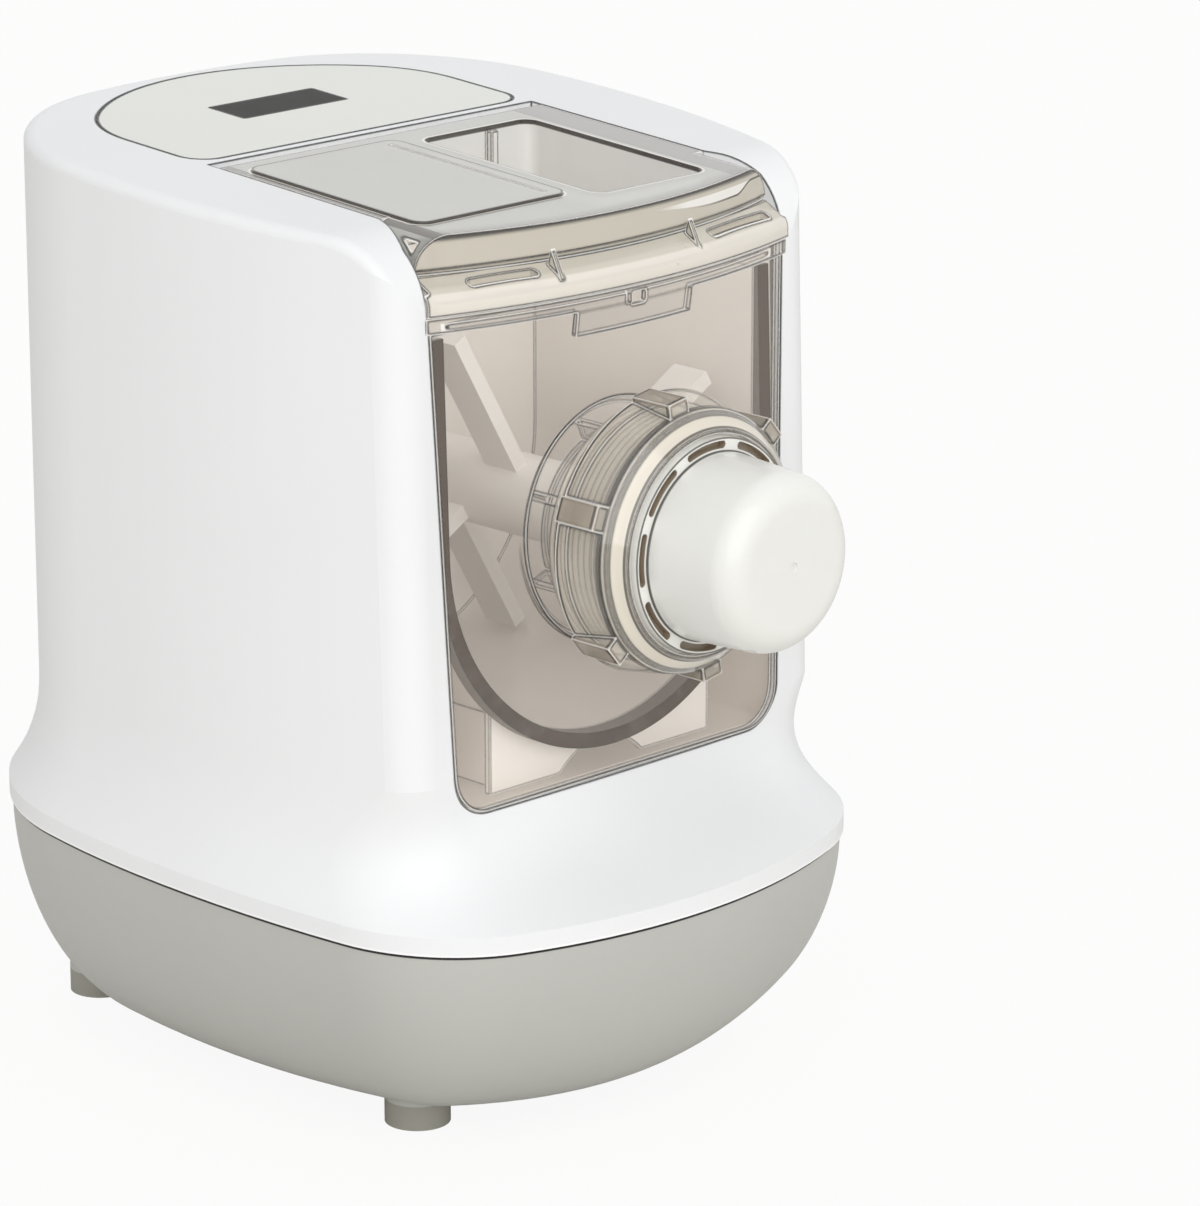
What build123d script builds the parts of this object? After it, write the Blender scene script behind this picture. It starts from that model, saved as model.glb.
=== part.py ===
from build123d import *
from math import acos, atan, atan2, cos, degrees, hypot, pi, radians, sin, sqrt, tan
import os

# Electric pasta maker, in millimetres. +Z is up, the front faces -Y, and the floor is at z = 0
# under the middle of the overall box. Angles are in degrees.

# Casing: a white housing over a grey base, met at a sloping seam
overall_height = 305.0
body_half_width = 106.0
body_rear_y = 132.5
widest_y = 29.0
body_side_radius = 323.0
body_rear_radius = 325.0
body_corner_radius = 75.0
front_half_width = 88.5
front_corner = 13.0
front_foot_y = -78.4
front_lean = 0.0316
top_slope = 0.06
top_front_radius = 26.0
rim_radius = 3.5
flare_height = 125.0
seam_height = 79.4
seam_slope = 0.03
seam_band = 6.0
seam_half_width = 111.5
seam_rear_y = 148.0
seam_side_radius = 362.0
seam_rear_radius = 357.0
seam_corner_radius = 82.0
seam_front_half_width = 98.0
seam_front_y = -113.0
seam_bow = 25.5
seam_front_corner = 55.0
loft_steps = 5
wall = 3.0
clearance = 0.3

# Base tray and feet
tray_step = 1.0
tray_wall = 2.5
bowl_inset = 48.0
bowl_bottom = 8.5
lip_height = 4.0
lip_wall = 2.0
foot_radius = 10.5
foot_height = 8.0
foot_places = ((-53.0, -37.0), (53.0, -37.0), (-47.0, 125.0), (47.0, 125.0))
vent_count = 7
vent_pitch = 9.0
vent_width = 3.0
vent_length = 26.0
vent_y = -32.0

# Screws shared by the whole machine
screw_radius = 1.5
screw_head_radius = 3.0
screw_head_height = 2.2
screw_boss_radius = 5.5
base_screw_places = ((-74.0, -10.0), (74.0, -10.0), (-74.0, 60.0), (74.0, 60.0), (-20.0, 109.0),
                     (20.0, 109.0))
base_screw_length = 18.0
base_screw_bite = 10.0
base_rib_top = 100.0
base_rib_foot = 69.4
screw_end_gap = 0.5

# Top opening and front window of the mixing chamber
opening_half_width = 69.5
opening_rear_y = 36.0
opening_shoulder_y = -42.0
opening_throat_y = -60.0
opening_throat_half_width = 76.5
skirt_wall = 2.2
skirt_bottom = 269.0
window_bottom = 112.5
window_bottom_half_width = 70.5
window_top_height = 275.6
window_corner = 14.0

# Control panel and display
panel_half_width = 70.5
panel_front_y = 39.5
panel_rear_y = 126.0
panel_bow = 38.0
panel_corner = 10.0
panel_shoulder = 40.0
panel_thickness = 2.0
panel_ledge = 3.5
display_half_width = 22.0
display_front_y = 73.0
display_rear_y = 90.0
display_thickness = 1.2
display_ledge = 1.5
display_corner = 0.8
peg_radius = 2.5
peg_length = 8.0
peg_places = ((-34.0, 62.0), (34.0, 62.0), (-34.0, 103.0), (34.0, 103.0))
board_thickness = 1.6

# Lid and its hinge
lid_gap = 0.8
lid_thickness = 3.0
lid_rim_depth = 9.0
lid_rim_wall = 2.0
lid_barrel_radius = 5.0
hinge_y = 30.4
hinge_pin_radius = 1.5
hinge_pin_inner_x = 61.0
hinge_boss_x = 79.0
hinge_boss_depth = 13.0
hinge_boss_bottom = 287.0
lid_front_y = -76.6
lid_front_bow = 208.5
lid_front_wall = 3.0
lid_shoulder_radius = 12.0
lid_band_bottom = 283.0
band_swell = 0.8
band_undercut = 2.0
shelf_root_y = -70.0
shelf_fall = 0.5
shelf_wall = 3.0
lip_front_y = -83.6
lip_bow = 256.0
lip_half_width = 77.5
lip_top = 276.5
lip_bottom = 270.4
lip_round = 6.0
lip_thickness = 2.4
pad_left = -65.0
pad_right = -2.5
pad_front = -55.0
pad_rear = 24.0
pad_height = 0.8
pad_corner = 5.0
basin_left = 5.0
basin_right = 53.0
basin_front = -60.0
basin_rear = 20.5
basin_wall = 2.0
basin_bottom = 270.0
basin_corner = 5.0
basin_rib_x = 36.0
basin_rib_width = 3.0
basin_rib_depth = 2.5
gusset_places = (-31.0, 28.0)
gusset_width = 1.8
gusset_foot = 278.0
shelf_slots = ((-62.0, -37.0), (36.0, 70.0))
slot_width = 3.0
slot_inset = 4.5
pad_line_x = -8.5
pad_line_width = 1.0
finger_x = -40.0
finger_width = 8.0
finger_rear = 3.0

# Front cover, its gasket and pull tab
nozzle_z = 193.7
cover_gap = 0.5
cover_thickness = 2.6
cover_top = 269.9
ledge_bottom = 265.0
ledge_setback = 1.0
ledge_wall = 2.4
ledge_rear_y = -60.0
tab_half_width = 25.0
tab_bottom = 257.0
tab_thickness = 2.5
tab_setback = 2.2
sight_half_width = 3.0
gasket_outer_radius = 72.7
gasket_inner_radius = 67.8
gasket_top = 262.0
gasket_rear_y = -66.0
thread_root_radius = 38.5
thread_crest_radius = 39.5
thread_pitch = 2.5
thread_flank = 0.6
thread_crest = 0.7
thread_rings = 8
collar_front_y = -104.0
collar_wall = 2.2
barrel_radius = 27.5
barrel_wall = 2.5
collar_front_wall = 4.0
spoke_count = 8
spoke_width = 1.8
seal_inner_radius = 31.0
seal_outer_radius = 34.5
seal_depth = 2.0

# Forming die and locking nut
flange_radius = 37.5
flange_thickness = 4.0
rim_ring_radius = 33.7
rim_ring_front_y = -115.0
notch_count = 9
notch_turn = 17.0
notch_sweep = 26.0
notch_width = 2.4
notch_depth = 3.0
cup_base_radius = 29.4
cup_tip_radius = 27.6
cup_wall = 2.5
cup_round = 9.0
die_tip_y = -148.0
die_hole_radius = 2.2
die_hole_pitch = (11.0, 9.0)
gate_mark_radius = 1.6
gate_mark_depth = 0.6
nut_rear_y = -91.0
nut_rear_radius = 44.5
nut_shoulder_radius = 41.5
nut_shoulder_y = -107.0
nut_front_radius = 35.5
nut_front_y = -113.0
nut_mouth_radius = 34.5
nut_lug_count = 6
nut_lug_height = 4.5
nut_lug_width = 8.0
nut_lug_turn = 40.0

# Mixing tub and its agitator
tub_wall = 2.5
tub_front_y = -65.8
tub_rear_y = 36.0
tub_rear_wall = 3.0
tub_top = 262.0
tub_rim = 2.0
runner_x = 40.0
runner_width = 4.0
grip_half_width = 48.0
grip_bottom = 113.5
grip_scoop_radius = 24.0
shaft_radius = 7.0
shaft_front_y = -98.0
journal_radius = 8.5
journal_gap = 0.1
tail_flats = 13.6
tail_rear_y = 48.0
tub_seal_radius = 12.0
screw_flight_radius = 26.0
screw_hub_radius = 12.0
screw_flight_wall = 3.0
screw_front_y = -97.0
screw_rear_y = -66.0
screw_turns = 1.25
paddle_hub_radius = 13.0
paddle_reach = 64.0
paddle_width = 14.0
paddle_thickness = 5.0
paddle_count = 4
paddle_rear_y = 26.0

# Inner frame: chamber liner and bulkhead, its floor level with the window's sill
floor_thickness = 3.0
liner_half_width = 74.0
liner_wall = 2.5
liner_top = 268.5
liner_setback = 2.6
bulkhead_front_y = 37.0
bulkhead_thickness = 3.0
bulkhead_half_width = 102.4
frame_screw_x = 92.0
frame_screw_heights = (135.0, 262.0)
frame_screw_length = 12.0
rib_inner_x = 84.0
rib_depth = 16.0
rib_half_height = 7.0

# Lid interlock
plunger_z = 278.0
plunger_radius = 1.5
plunger_collar_radius = 3.0
plunger_travel = 2.5
switch_width = 20.0
switch_height = 10.0
switch_depth = 7.0
terminal_pitch = 6.0
terminal_width = 3.0
terminal_length = 4.0
terminal_thickness = 0.8
shelf_thickness = 2.0

# Gear train from the motor up to the output socket
pressure_angle = 20.0
tooth_fill = 0.84
addendum = 0.8
dedendum = 1.25
stage_1_module = 1.0
stage_1_teeth = (12, 60)
stage_2_module = 1.25
stage_2_teeth = (15, 57)
stage_3_module = 1.25
stage_3_teeth = (16, 72)
idler_2_x = 8.0
idler_1_x = -10.0
case_front_y = 40.0
case_wall = 3.0
layer_a_y = 50.0
gear_width = 10.0
layer_gap = 2.0
case_rear_y = 75.0
case_cover_thickness = 3.0
case_margin = 2.0
case_skin = 2.5
motor_seat_radius = 24.0
idler_shaft_radius = 3.0
idler_play = 0.05
bearing_outer_radius = 18.0
bearing_width = 6.0
socket_radius = 12.0
socket_depth = 12.0
socket_play = 0.2
output_journal_radius = 6.0
case_ear_radius = 4.5
ear_overhang = 1.0
upper_ear_turns = (20.0, 90.0, 160.0)
lower_ear_turns = (210.0, 330.0)

# Motor
motor_radius = 30.0
motor_wall = 2.0
motor_front_y = -45.0
motor_face = 2.5
stator_inner_radius = 22.5
stator_front_y = -35.0
stator_rear_y = 30.0
rotor_radius = 21.5
rotor_end_gap = 2.0
motor_shaft_radius = 3.0
motor_shaft_front_y = -61.0
bushing_radius = 5.0
end_cap_thickness = 3.0
fan_radius = 25.0
fan_hub_radius = 7.0
fan_front_y = -59.0
fan_rear_y = -51.0
fan_blades = 7
fan_blade_wall = 1.6
motor_screw_circle = 17.0
motor_screw_turns = (45.0, 135.0, 225.0, 315.0)
motor_screw_length = 8.0
cradle_half_width = 34.0
cradle_foot = 3.0
cradle_saddles = (-30.0, 14.0)
cradle_saddle_width = 9.0
cradle_top = 50.0
cradle_screw_x = 31.0

# Electronics and power inlet
power_board_z = 20.0
power_board_half_width = 45.0
power_board_front_y = 46.0
power_board_rear_y = 94.0
board_post_radius = 3.0
board_post_places = ((-38.0, 52.0), (38.0, 52.0), (-36.0, 86.0), (36.0, 86.0))
inlet_z = 140.0
inlet_half_width = 14.0
inlet_half_height = 10.0
inlet_depth = 22.0
inlet_flange_half_width = 23.0
inlet_flange_half_height = 13.0
inlet_flange = 3.0
inlet_seat_y = 131.0
inlet_screw_x = 18.5
inlet_screw_length = 5.0

# Heights and places that follow from the sizes above
lean_angle = atan(front_lean)
slope_angle = atan(top_slope)
tub_inner_radius = gasket_inner_radius
tub_outer_radius = tub_inner_radius + tub_wall
floor_top = window_bottom + clearance
chamber_floor = floor_top - floor_thickness
bulkhead_rear_y = bulkhead_front_y + bulkhead_thickness
layer_b_y = layer_a_y + gear_width + layer_gap
case_end_y = case_rear_y + case_cover_thickness
stage_1_distance = stage_1_module * sum(stage_1_teeth) / 2
stage_2_distance = stage_2_module * sum(stage_2_teeth) / 2
stage_3_distance = stage_3_module * sum(stage_3_teeth) / 2
output_axis = (0.0, nozzle_z)
idler_2_axis = (idler_2_x, nozzle_z - sqrt(stage_3_distance ** 2 - idler_2_x ** 2))
idler_1_axis = (idler_1_x, idler_2_axis[1] - sqrt(stage_2_distance ** 2 - (idler_1_x - idler_2_x) ** 2))
motor_axis = (0.0, idler_1_axis[1] - sqrt(stage_1_distance ** 2 - idler_1_x ** 2))
tray_floor = bowl_bottom + tray_wall
far = 400.0


def blend(start, end, share):
    return start + (end - start) * share


def front_y(z):
    """The front wall leans back as it rises."""
    return front_foot_y + front_lean * z


def top_z(y):
    """The top rises towards the rear."""
    return overall_height + top_slope * (y - body_rear_y + rim_radius)


hinge_z = top_z(hinge_y) - lid_barrel_radius
lid_bow_y = lid_front_y + lid_front_bow
lip_bow_y = lip_front_y + lip_bow
bulkhead_top = top_z(bulkhead_front_y) - wall - clearance


def level_plane(z, slope):
    angle = atan(slope)
    return Plane(origin=(0, 0, z), x_dir=(1, 0, 0), z_dir=(0, -sin(angle), cos(angle)))


def roof_plane(drop):
    """A plane parallel to the sloping top and this far under it."""
    return level_plane(top_z(0) - drop, top_slope)


def face_plane(y):
    """An upright plane whose axes are X and Z, at this y."""
    return Plane.XZ.offset(-y)


def axis_along_y(x, z):
    return Axis((x, 0, z), (0, 1, 0))


# ---------------------------------------------------------------- shared forms


def turned(points, centre=output_axis):
    """A solid of revolution about an axis along Y, from points of (y, radius)."""
    x, z = centre
    with BuildPart() as solid:
        with BuildSketch(Plane(origin=(x, 0, z), x_dir=(0, 1, 0), z_dir=(1, 0, 0))):
            with BuildLine():
                Polyline(*points, close=True)
            make_face()
        revolve(axis=axis_along_y(x, z))
    return solid.part


def ring(inner, outer, start, end, centre=output_axis):
    """A tube along Y, or a rod where the inner radius is 0."""
    with BuildPart() as solid:
        with BuildSketch(face_plane(end)):
            with Locations(centre):
                Circle(outer)
                if inner:
                    Circle(inner, mode=Mode.SUBTRACT)
        extrude(amount=end - start)
    return solid.part


def upright_ring(inner, outer, bottom, top, place):
    with BuildPart() as solid:
        with BuildSketch(Plane.XY.offset(bottom)):
            with Locations(place):
                Circle(outer)
                if inner:
                    Circle(inner, mode=Mode.SUBTRACT)
        extrude(amount=top - bottom)
    return solid.part


def block(left, right, front, rear, bottom, top):
    with BuildPart() as solid:
        with BuildSketch(Plane.XY.offset(bottom)):
            with Locations(((left + right) / 2, (front + rear) / 2)):
                Rectangle(right - left, rear - front)
        extrude(amount=top - bottom)
    return solid.part


def side_profile(points, left, right):
    """A solid between two x values, from points of (y, z)."""
    with BuildPart() as solid:
        with BuildSketch(Plane.YZ.offset(left)):
            with BuildLine():
                Polyline(*points, close=True)
            make_face()
        extrude(amount=right - left)
    return solid.part


def bowed(points, centre_y, turn=30.0, corner=None, radius=0.0):
    """A profile of (y, z) points on the middle plane, swung about an upright axis at x = 0.

    A corner that is named is rounded to the radius."""
    with BuildPart() as solid:
        with BuildSketch(Plane.YZ) as profile:
            with BuildLine():
                Polyline(*points, close=True)
            make_face()
            if corner:
                fillet(profile.vertices().sort_by_distance(corner)[0], radius)
        revolve(axis=Axis((0, centre_y, 0), (0, 0, 1)), revolution_arc=turn)
    with BuildPart() as both:
        add(solid.part)
        add(solid.part.mirror(Plane.YZ))
    return both.part


def fastener(centre, head_y, length, head_radius=screw_head_radius):
    """A screw along Y whose head is at the rear and rests on head_y."""
    with BuildPart() as solid:
        add(ring(0, head_radius, head_y, head_y + screw_head_height, centre))
        add(ring(0, screw_radius, head_y - length, head_y, centre))
    return solid.part


def save(piece, name):
    piece.label = name
    export_step(piece, f"parts/{name}.step")


# ---------------------------------------------------------------- casing


def casing_outline(plane, flare, inset, corner):
    """The body's outline: bowed or straight front, long side arcs and a round-cornered rear."""
    share = flare ** 2
    half_mid = blend(body_half_width, seam_half_width, share) - inset
    half_front = blend(front_half_width, seam_front_half_width, share) - inset
    front = blend(front_y(max(plane.origin.Z, flare_height)), seam_front_y, flare ** 3) + inset
    front_side_y = front + blend(0.0, seam_bow, share)
    rear = blend(body_rear_y, seam_rear_y, share) - inset
    side_radius = blend(body_side_radius, seam_side_radius, share) - inset
    rear_radius = blend(body_rear_radius, seam_rear_radius, share) - inset
    bend_radius = blend(body_corner_radius, seam_corner_radius, share) - inset
    side_x = half_mid - side_radius
    rear_y = rear - rear_radius
    apart = hypot(side_x, rear_y - widest_y)
    side_reach = side_radius - bend_radius
    along = (side_reach ** 2 - (rear_radius - bend_radius) ** 2 + apart ** 2) / (2 * apart)
    across = sqrt(side_reach ** 2 - along ** 2)
    step_x = -side_x / apart
    step_y = (rear_y - widest_y) / apart
    bend_x = side_x + along * step_x - across * step_y
    bend_y = widest_y + along * step_y + across * step_x
    side_turn = degrees(atan2(bend_y - widest_y, bend_x - side_x))
    rear_turn = degrees(atan2(bend_y - rear_y, bend_x))
    bend_turn = rear_turn - side_turn
    with BuildSketch(plane) as outline:
        with BuildLine():
            left = (-half_front, front_side_y)
            right = (half_front, front_side_y)
            if flare:
                ThreePointArc(left, (0, front), right)
            else:
                Line(left, right)
            TangentArc((half_mid, widest_y), right, tangent=(0, -1))
            CenterArc((side_x, widest_y), side_radius, 0, side_turn)
            CenterArc((bend_x, bend_y), bend_radius, side_turn, bend_turn)
            CenterArc((0, rear_y), rear_radius, rear_turn, 180 - 2 * rear_turn)
            CenterArc((-bend_x, bend_y), bend_radius, 180 - rear_turn, bend_turn)
            CenterArc((-side_x, widest_y), side_radius, 180 - side_turn, side_turn)
            TangentArc((-half_mid, widest_y), left, tangent=(0, -1))
        make_face()
        if corner:
            fillet(outline.vertices().sort_by(Axis.Y)[:2], corner)
    return outline.sketch


def upper_block(inset, corner):
    """The plain walls above the flare, taller than the machine."""
    with BuildPart() as body:
        for z in (flare_height, overall_height + 10):
            add(casing_outline(Plane.XY.offset(z), 0.0, inset, corner))
        loft(ruled=True)
    return body.part


def flared_block(inset):
    """The walls spread towards the seam and end in a short upright band."""
    band_top = seam_height + seam_band
    with BuildPart() as body:
        for step in range(loft_steps + 1):
            flare = step / loft_steps
            plane = level_plane(blend(flare_height, band_top, flare), seam_slope * flare)
            add(casing_outline(plane, flare, inset, blend(front_corner, seam_front_corner, flare) - inset))
        loft()
        for z in (band_top, seam_height):
            add(casing_outline(level_plane(z, seam_slope), 1.0, inset, seam_front_corner - inset))
        loft(ruled=True)
    return body.part


def bowl(inset, floor):
    """The base's bowl: a quarter ellipse from the seam in to a flat floor at this height."""
    with BuildPart() as body:
        for step in range(loft_steps + 1):
            turn = radians(90 * step / loft_steps)
            plane = level_plane(blend(seam_height, floor, sin(turn)), seam_slope * (1 - sin(turn)))
            shrink = inset + bowl_inset * (1 - cos(turn))
            add(casing_outline(plane, 1.0, shrink, max(seam_front_corner - shrink, 1.0)))
        loft()
    return body.part


def over_top(drop):
    """All that lies above the sloping top and its rounded front edge, lowered by this much."""
    meet_y = (front_foot_y + front_lean * (top_z(0) - drop)) / (1 - front_lean * top_slope)
    meet_z = top_z(meet_y) - drop
    low = meet_z - 2 * top_front_radius
    high = overall_height + 30
    with BuildPart() as space:
        with BuildSketch(Plane.YZ.offset(-far / 2)) as profile:
            with BuildLine():
                Polyline((-far / 2, low), (front_y(low), low), (meet_y, meet_z),
                         (far / 2, top_z(far / 2) - drop), (far / 2, high), (-far / 2, high), close=True)
            make_face()
            fillet(profile.vertices().sort_by_distance((meet_y, meet_z))[0], top_front_radius)
        extrude(amount=far)
    return space.part


def outer_casing():
    with BuildPart() as upper:
        add(upper_block(0, 0))
        add(over_top(0), mode=Mode.SUBTRACT)
        top = upper.faces().filter_by(GeomType.PLANE).filter_by(lambda f: f.normal_at().Z > 0.9)
        fillet(top.sort_by(Axis.Z)[-1].edges().sort_by(Axis.Y)[-1], rim_radius)
        add(upper_block(0, front_corner), mode=Mode.INTERSECT)
    with BuildPart() as casing:
        add(upper.part)
        add(flared_block(0))
    return casing.part


def inner_casing():
    with BuildPart() as cavity:
        add(upper_block(wall, front_corner - wall))
        add(over_top(wall), mode=Mode.SUBTRACT)
        add(flared_block(wall))
    return cavity.part


def opening_prism(grow, bottom):
    """The top opening: straight sides that widen at the front and run out through it."""
    near = opening_half_width + grow
    wide = opening_throat_half_width + grow
    with BuildPart() as prism:
        with BuildSketch(Plane.XY.offset(bottom)):
            with BuildLine():
                Polyline((near, opening_rear_y), (near, opening_shoulder_y), (wide, opening_throat_y),
                         (wide, seam_front_y), (-wide, seam_front_y), (-wide, opening_throat_y),
                         (-near, opening_shoulder_y), (-near, opening_rear_y), close=True)
            make_face()
        extrude(amount=overall_height + 20 - bottom)
    return prism.part


def window_sketch(plane, gap, top):
    """The front window, or the cover that fits it with this gap all round."""
    share = (top - window_bottom) / (window_top_height - window_bottom)
    low = window_bottom_half_width - gap
    high = blend(window_bottom_half_width, opening_throat_half_width, share) - gap
    with BuildSketch(plane) as window:
        with BuildLine():
            Polyline((-low, window_bottom + gap), (low, window_bottom + gap), (high, top), (-high, top),
                     close=True)
        make_face()
        fillet(window.vertices().sort_by(Axis.Y)[:2], window_corner - gap)
    return window.sketch


def panel_sketch(plane, gap):
    """The control panel's D outline."""
    half = panel_half_width - gap
    front = panel_front_y + gap
    rear = panel_rear_y - gap
    with BuildSketch(plane) as panel:
        with BuildLine():
            Polyline((-half, rear - panel_bow), (-half, front), (half, front), (half, rear - panel_bow))
            ThreePointArc((half, rear - panel_bow), (0, rear), (-half, rear - panel_bow))
        make_face()
        along = panel.vertices().sort_by(Axis(plane.origin, plane.y_dir))
        fillet(along[:2], panel_corner - gap)
        fillet(panel.vertices().sort_by(Axis(plane.origin, plane.y_dir))[-2:], panel_shoulder - gap)
    return panel.sketch


def base_screw_rib(place, width):
    """A rib that joins a screw boss to the wall beside it."""
    x, y = place
    if abs(x) > abs(y):
        wall_x = seam_half_width if x > 0 else -seam_half_width
        return block(min(x, wall_x), max(x, wall_x), y - width / 2, y + width / 2, base_rib_foot,
                     base_rib_top)
    return block(x - width / 2, x + width / 2, y, seam_rear_y, base_rib_foot, base_rib_top)


def housing():
    cavity = inner_casing()
    with BuildPart() as fittings:
        add(opening_prism(skirt_wall, skirt_bottom))
        for side in (-1, 1):
            inner, outer = sorted((side * (opening_half_width + lid_gap), side * hinge_boss_x))
            add(block(inner, outer, hinge_y - hinge_boss_depth / 2, hinge_y + hinge_boss_depth / 2,
                      hinge_boss_bottom, overall_height + 10))
            for z in frame_screw_heights:
                inner, outer = sorted((side * rib_inner_x, side * body_half_width))
                add(block(inner, outer, bulkhead_rear_y, bulkhead_rear_y + rib_depth,
                          z - rib_half_height, z + rib_half_height))
        for place in base_screw_places:
            add(upright_ring(0, screw_boss_radius, base_rib_foot, base_rib_top, place))
            add(base_screw_rib(place, lip_wall))
        half = inlet_flange_half_width + wall
        tall = inlet_flange_half_height + wall
        add(block(-half, half, inlet_seat_y - 2 * wall, body_rear_y, inlet_z - tall, inlet_z + tall))
        add(cavity, mode=Mode.INTERSECT)
    with BuildPart() as shell:
        add(outer_casing())
        add(cavity, mode=Mode.SUBTRACT)
        add(fittings.part)
        add(opening_prism(0, skirt_bottom), mode=Mode.SUBTRACT)
        extrude(window_sketch(face_plane(opening_throat_y), 0, window_top_height), amount=far / 4,
                mode=Mode.SUBTRACT)
    with BuildPart() as holes:
        for side in (-1, 1):
            for z in frame_screw_heights:
                add(ring(0, screw_radius, bulkhead_rear_y, bulkhead_rear_y + frame_screw_length,
                         (side * frame_screw_x, z)))
            add(ring(0, screw_radius, inlet_seat_y - inlet_screw_length, inlet_seat_y,
                     (side * inlet_screw_x, inlet_z)))
        for place in base_screw_places:
            add(upright_ring(0, screw_radius, base_rib_foot, seam_height + base_screw_bite + 6, place))
        half = inlet_flange_half_width + clearance
        tall = inlet_flange_half_height + clearance
        add(block(-half, half, inlet_seat_y, seam_rear_y, inlet_z - tall, inlet_z + tall))
        half = inlet_half_width + clearance
        tall = inlet_half_height + clearance
        add(block(-half, half, inlet_seat_y - inlet_depth, seam_rear_y, inlet_z - tall, inlet_z + tall))
        add(lid_hinge_pins())
    with BuildPart() as pocket:
        extrude(panel_sketch(Plane.XY.offset(overall_height - 30), 0), amount=60)
        add(over_top(panel_thickness), mode=Mode.INTERSECT)
    with BuildPart() as finished:
        add(shell.part)
        add(pocket.part, mode=Mode.SUBTRACT)
        extrude(panel_sketch(Plane.XY.offset(overall_height - 30), panel_ledge), amount=60,
                mode=Mode.SUBTRACT)
        add(holes.part, mode=Mode.SUBTRACT)
    return finished.part


tray_bowl = bowl(tray_step, bowl_bottom)


def base_tray():
    lip_plane = level_plane(seam_height - lip_height, seam_slope)
    lip_inset = wall + clearance
    lip_corner = seam_front_corner - lip_inset
    lip_outline = casing_outline(lip_plane, 1.0, lip_inset, lip_corner)
    lip_hollow = casing_outline(lip_plane, 1.0, lip_inset + lip_wall, lip_corner - lip_wall)
    with BuildPart() as lip:
        extrude(lip_outline, amount=2 * lip_height)
        extrude(lip_hollow, amount=2 * lip_height, mode=Mode.SUBTRACT)
        for place in base_screw_places:
            add(upright_ring(0, screw_boss_radius + 1, seam_height - 20, seam_height + 20, place),
                mode=Mode.SUBTRACT)
            add(base_screw_rib(place, 2 * lip_wall), mode=Mode.SUBTRACT)
    with BuildPart() as bosses:
        for place in base_screw_places:
            add(upright_ring(0, screw_boss_radius, 0, seam_height + 10, place))
        for place in board_post_places:
            add(upright_ring(0, board_post_radius, 0, power_board_z, place))
        add(tray_bowl, mode=Mode.INTERSECT)
    with BuildPart() as holes:
        for place in base_screw_places:
            seat = seam_height + seam_slope * place[1] - base_screw_length + base_screw_bite
            add(upright_ring(0, screw_radius, 0, overall_height / 2, place))
            add(upright_ring(0, screw_head_radius + clearance, 0, seat, place))
        for index in range(vent_count):
            x = (index - (vent_count - 1) / 2) * vent_pitch
            add(block(x - vent_width / 2, x + vent_width / 2, vent_y - vent_length / 2,
                      vent_y + vent_length / 2, 0, tray_floor + 1))
        for saddle_y in cradle_saddles:
            for side in (-1, 1):
                place = (side * cradle_screw_x, saddle_y + cradle_saddle_width / 2)
                add(upright_ring(0, screw_radius, bowl_bottom + 1, tray_floor + 1, place))
    with BuildPart() as stubs:
        for place in foot_places:
            add(upright_ring(0, foot_radius, foot_height, seam_height - seam_band, place))
    with BuildPart() as tray:
        add(tray_bowl)
        add(stubs.part)
        add(bowl(tray_step + tray_wall, tray_floor), mode=Mode.SUBTRACT)
        add(bosses.part)
        add(lip.part)
        add(holes.part, mode=Mode.SUBTRACT)
    return tray.part


def base_screws():
    with BuildPart() as screws:
        for place in base_screw_places:
            seat = seam_height + seam_slope * place[1] - base_screw_length + base_screw_bite
            tip = seat + base_screw_length - screw_end_gap
            add(upright_ring(0, screw_radius, seat - screw_head_height, tip, place))
            add(upright_ring(0, screw_head_radius, seat - screw_head_height, seat, place))
    return screws.part


def foot(place):
    return upright_ring(0, foot_radius, 0, foot_height, place)


# ---------------------------------------------------------------- control panel


def control_panel():
    with BuildPart() as panel:
        extrude(panel_sketch(Plane.XY.offset(overall_height - 30), clearance), amount=60)
        add(over_top(panel_thickness), mode=Mode.INTERSECT)
        add(over_top(0), mode=Mode.SUBTRACT)
        mid_y = (display_front_y + display_rear_y) / 2
        with BuildSketch(roof_plane(display_thickness)):
            with Locations((0, mid_y)):
                Rectangle(2 * display_half_width, display_rear_y - display_front_y)
        extrude(amount=20, mode=Mode.SUBTRACT)
        with BuildSketch(roof_plane(10)):
            with Locations((0, mid_y)):
                Rectangle(2 * (display_half_width - display_ledge),
                          display_rear_y - display_front_y - 2 * display_ledge)
        extrude(amount=20, mode=Mode.SUBTRACT)
        with BuildSketch(roof_plane(panel_thickness + peg_length)):
            with Locations(*peg_places):
                Circle(peg_radius)
        extrude(amount=peg_length + panel_thickness / 2)
    return panel.part


def display_window():
    gap = clearance / 2
    with BuildPart() as window:
        with BuildSketch(roof_plane(display_thickness)):
            with Locations((0, (display_front_y + display_rear_y) / 2)):
                RectangleRounded(2 * (display_half_width - gap), display_rear_y - display_front_y - 2 * gap,
                                 display_corner)
        extrude(amount=display_thickness)
    return window.part


def display_board():
    drop = panel_thickness + peg_length
    with BuildPart() as board:
        with BuildSketch(roof_plane(drop)):
            with Locations((0, (peg_places[0][1] + peg_places[2][1]) / 2)):
                RectangleRounded(2 * peg_places[1][0] + 12, peg_places[2][1] - peg_places[0][1] + 12, 3)
        extrude(amount=-board_thickness)
    return board.part


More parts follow.
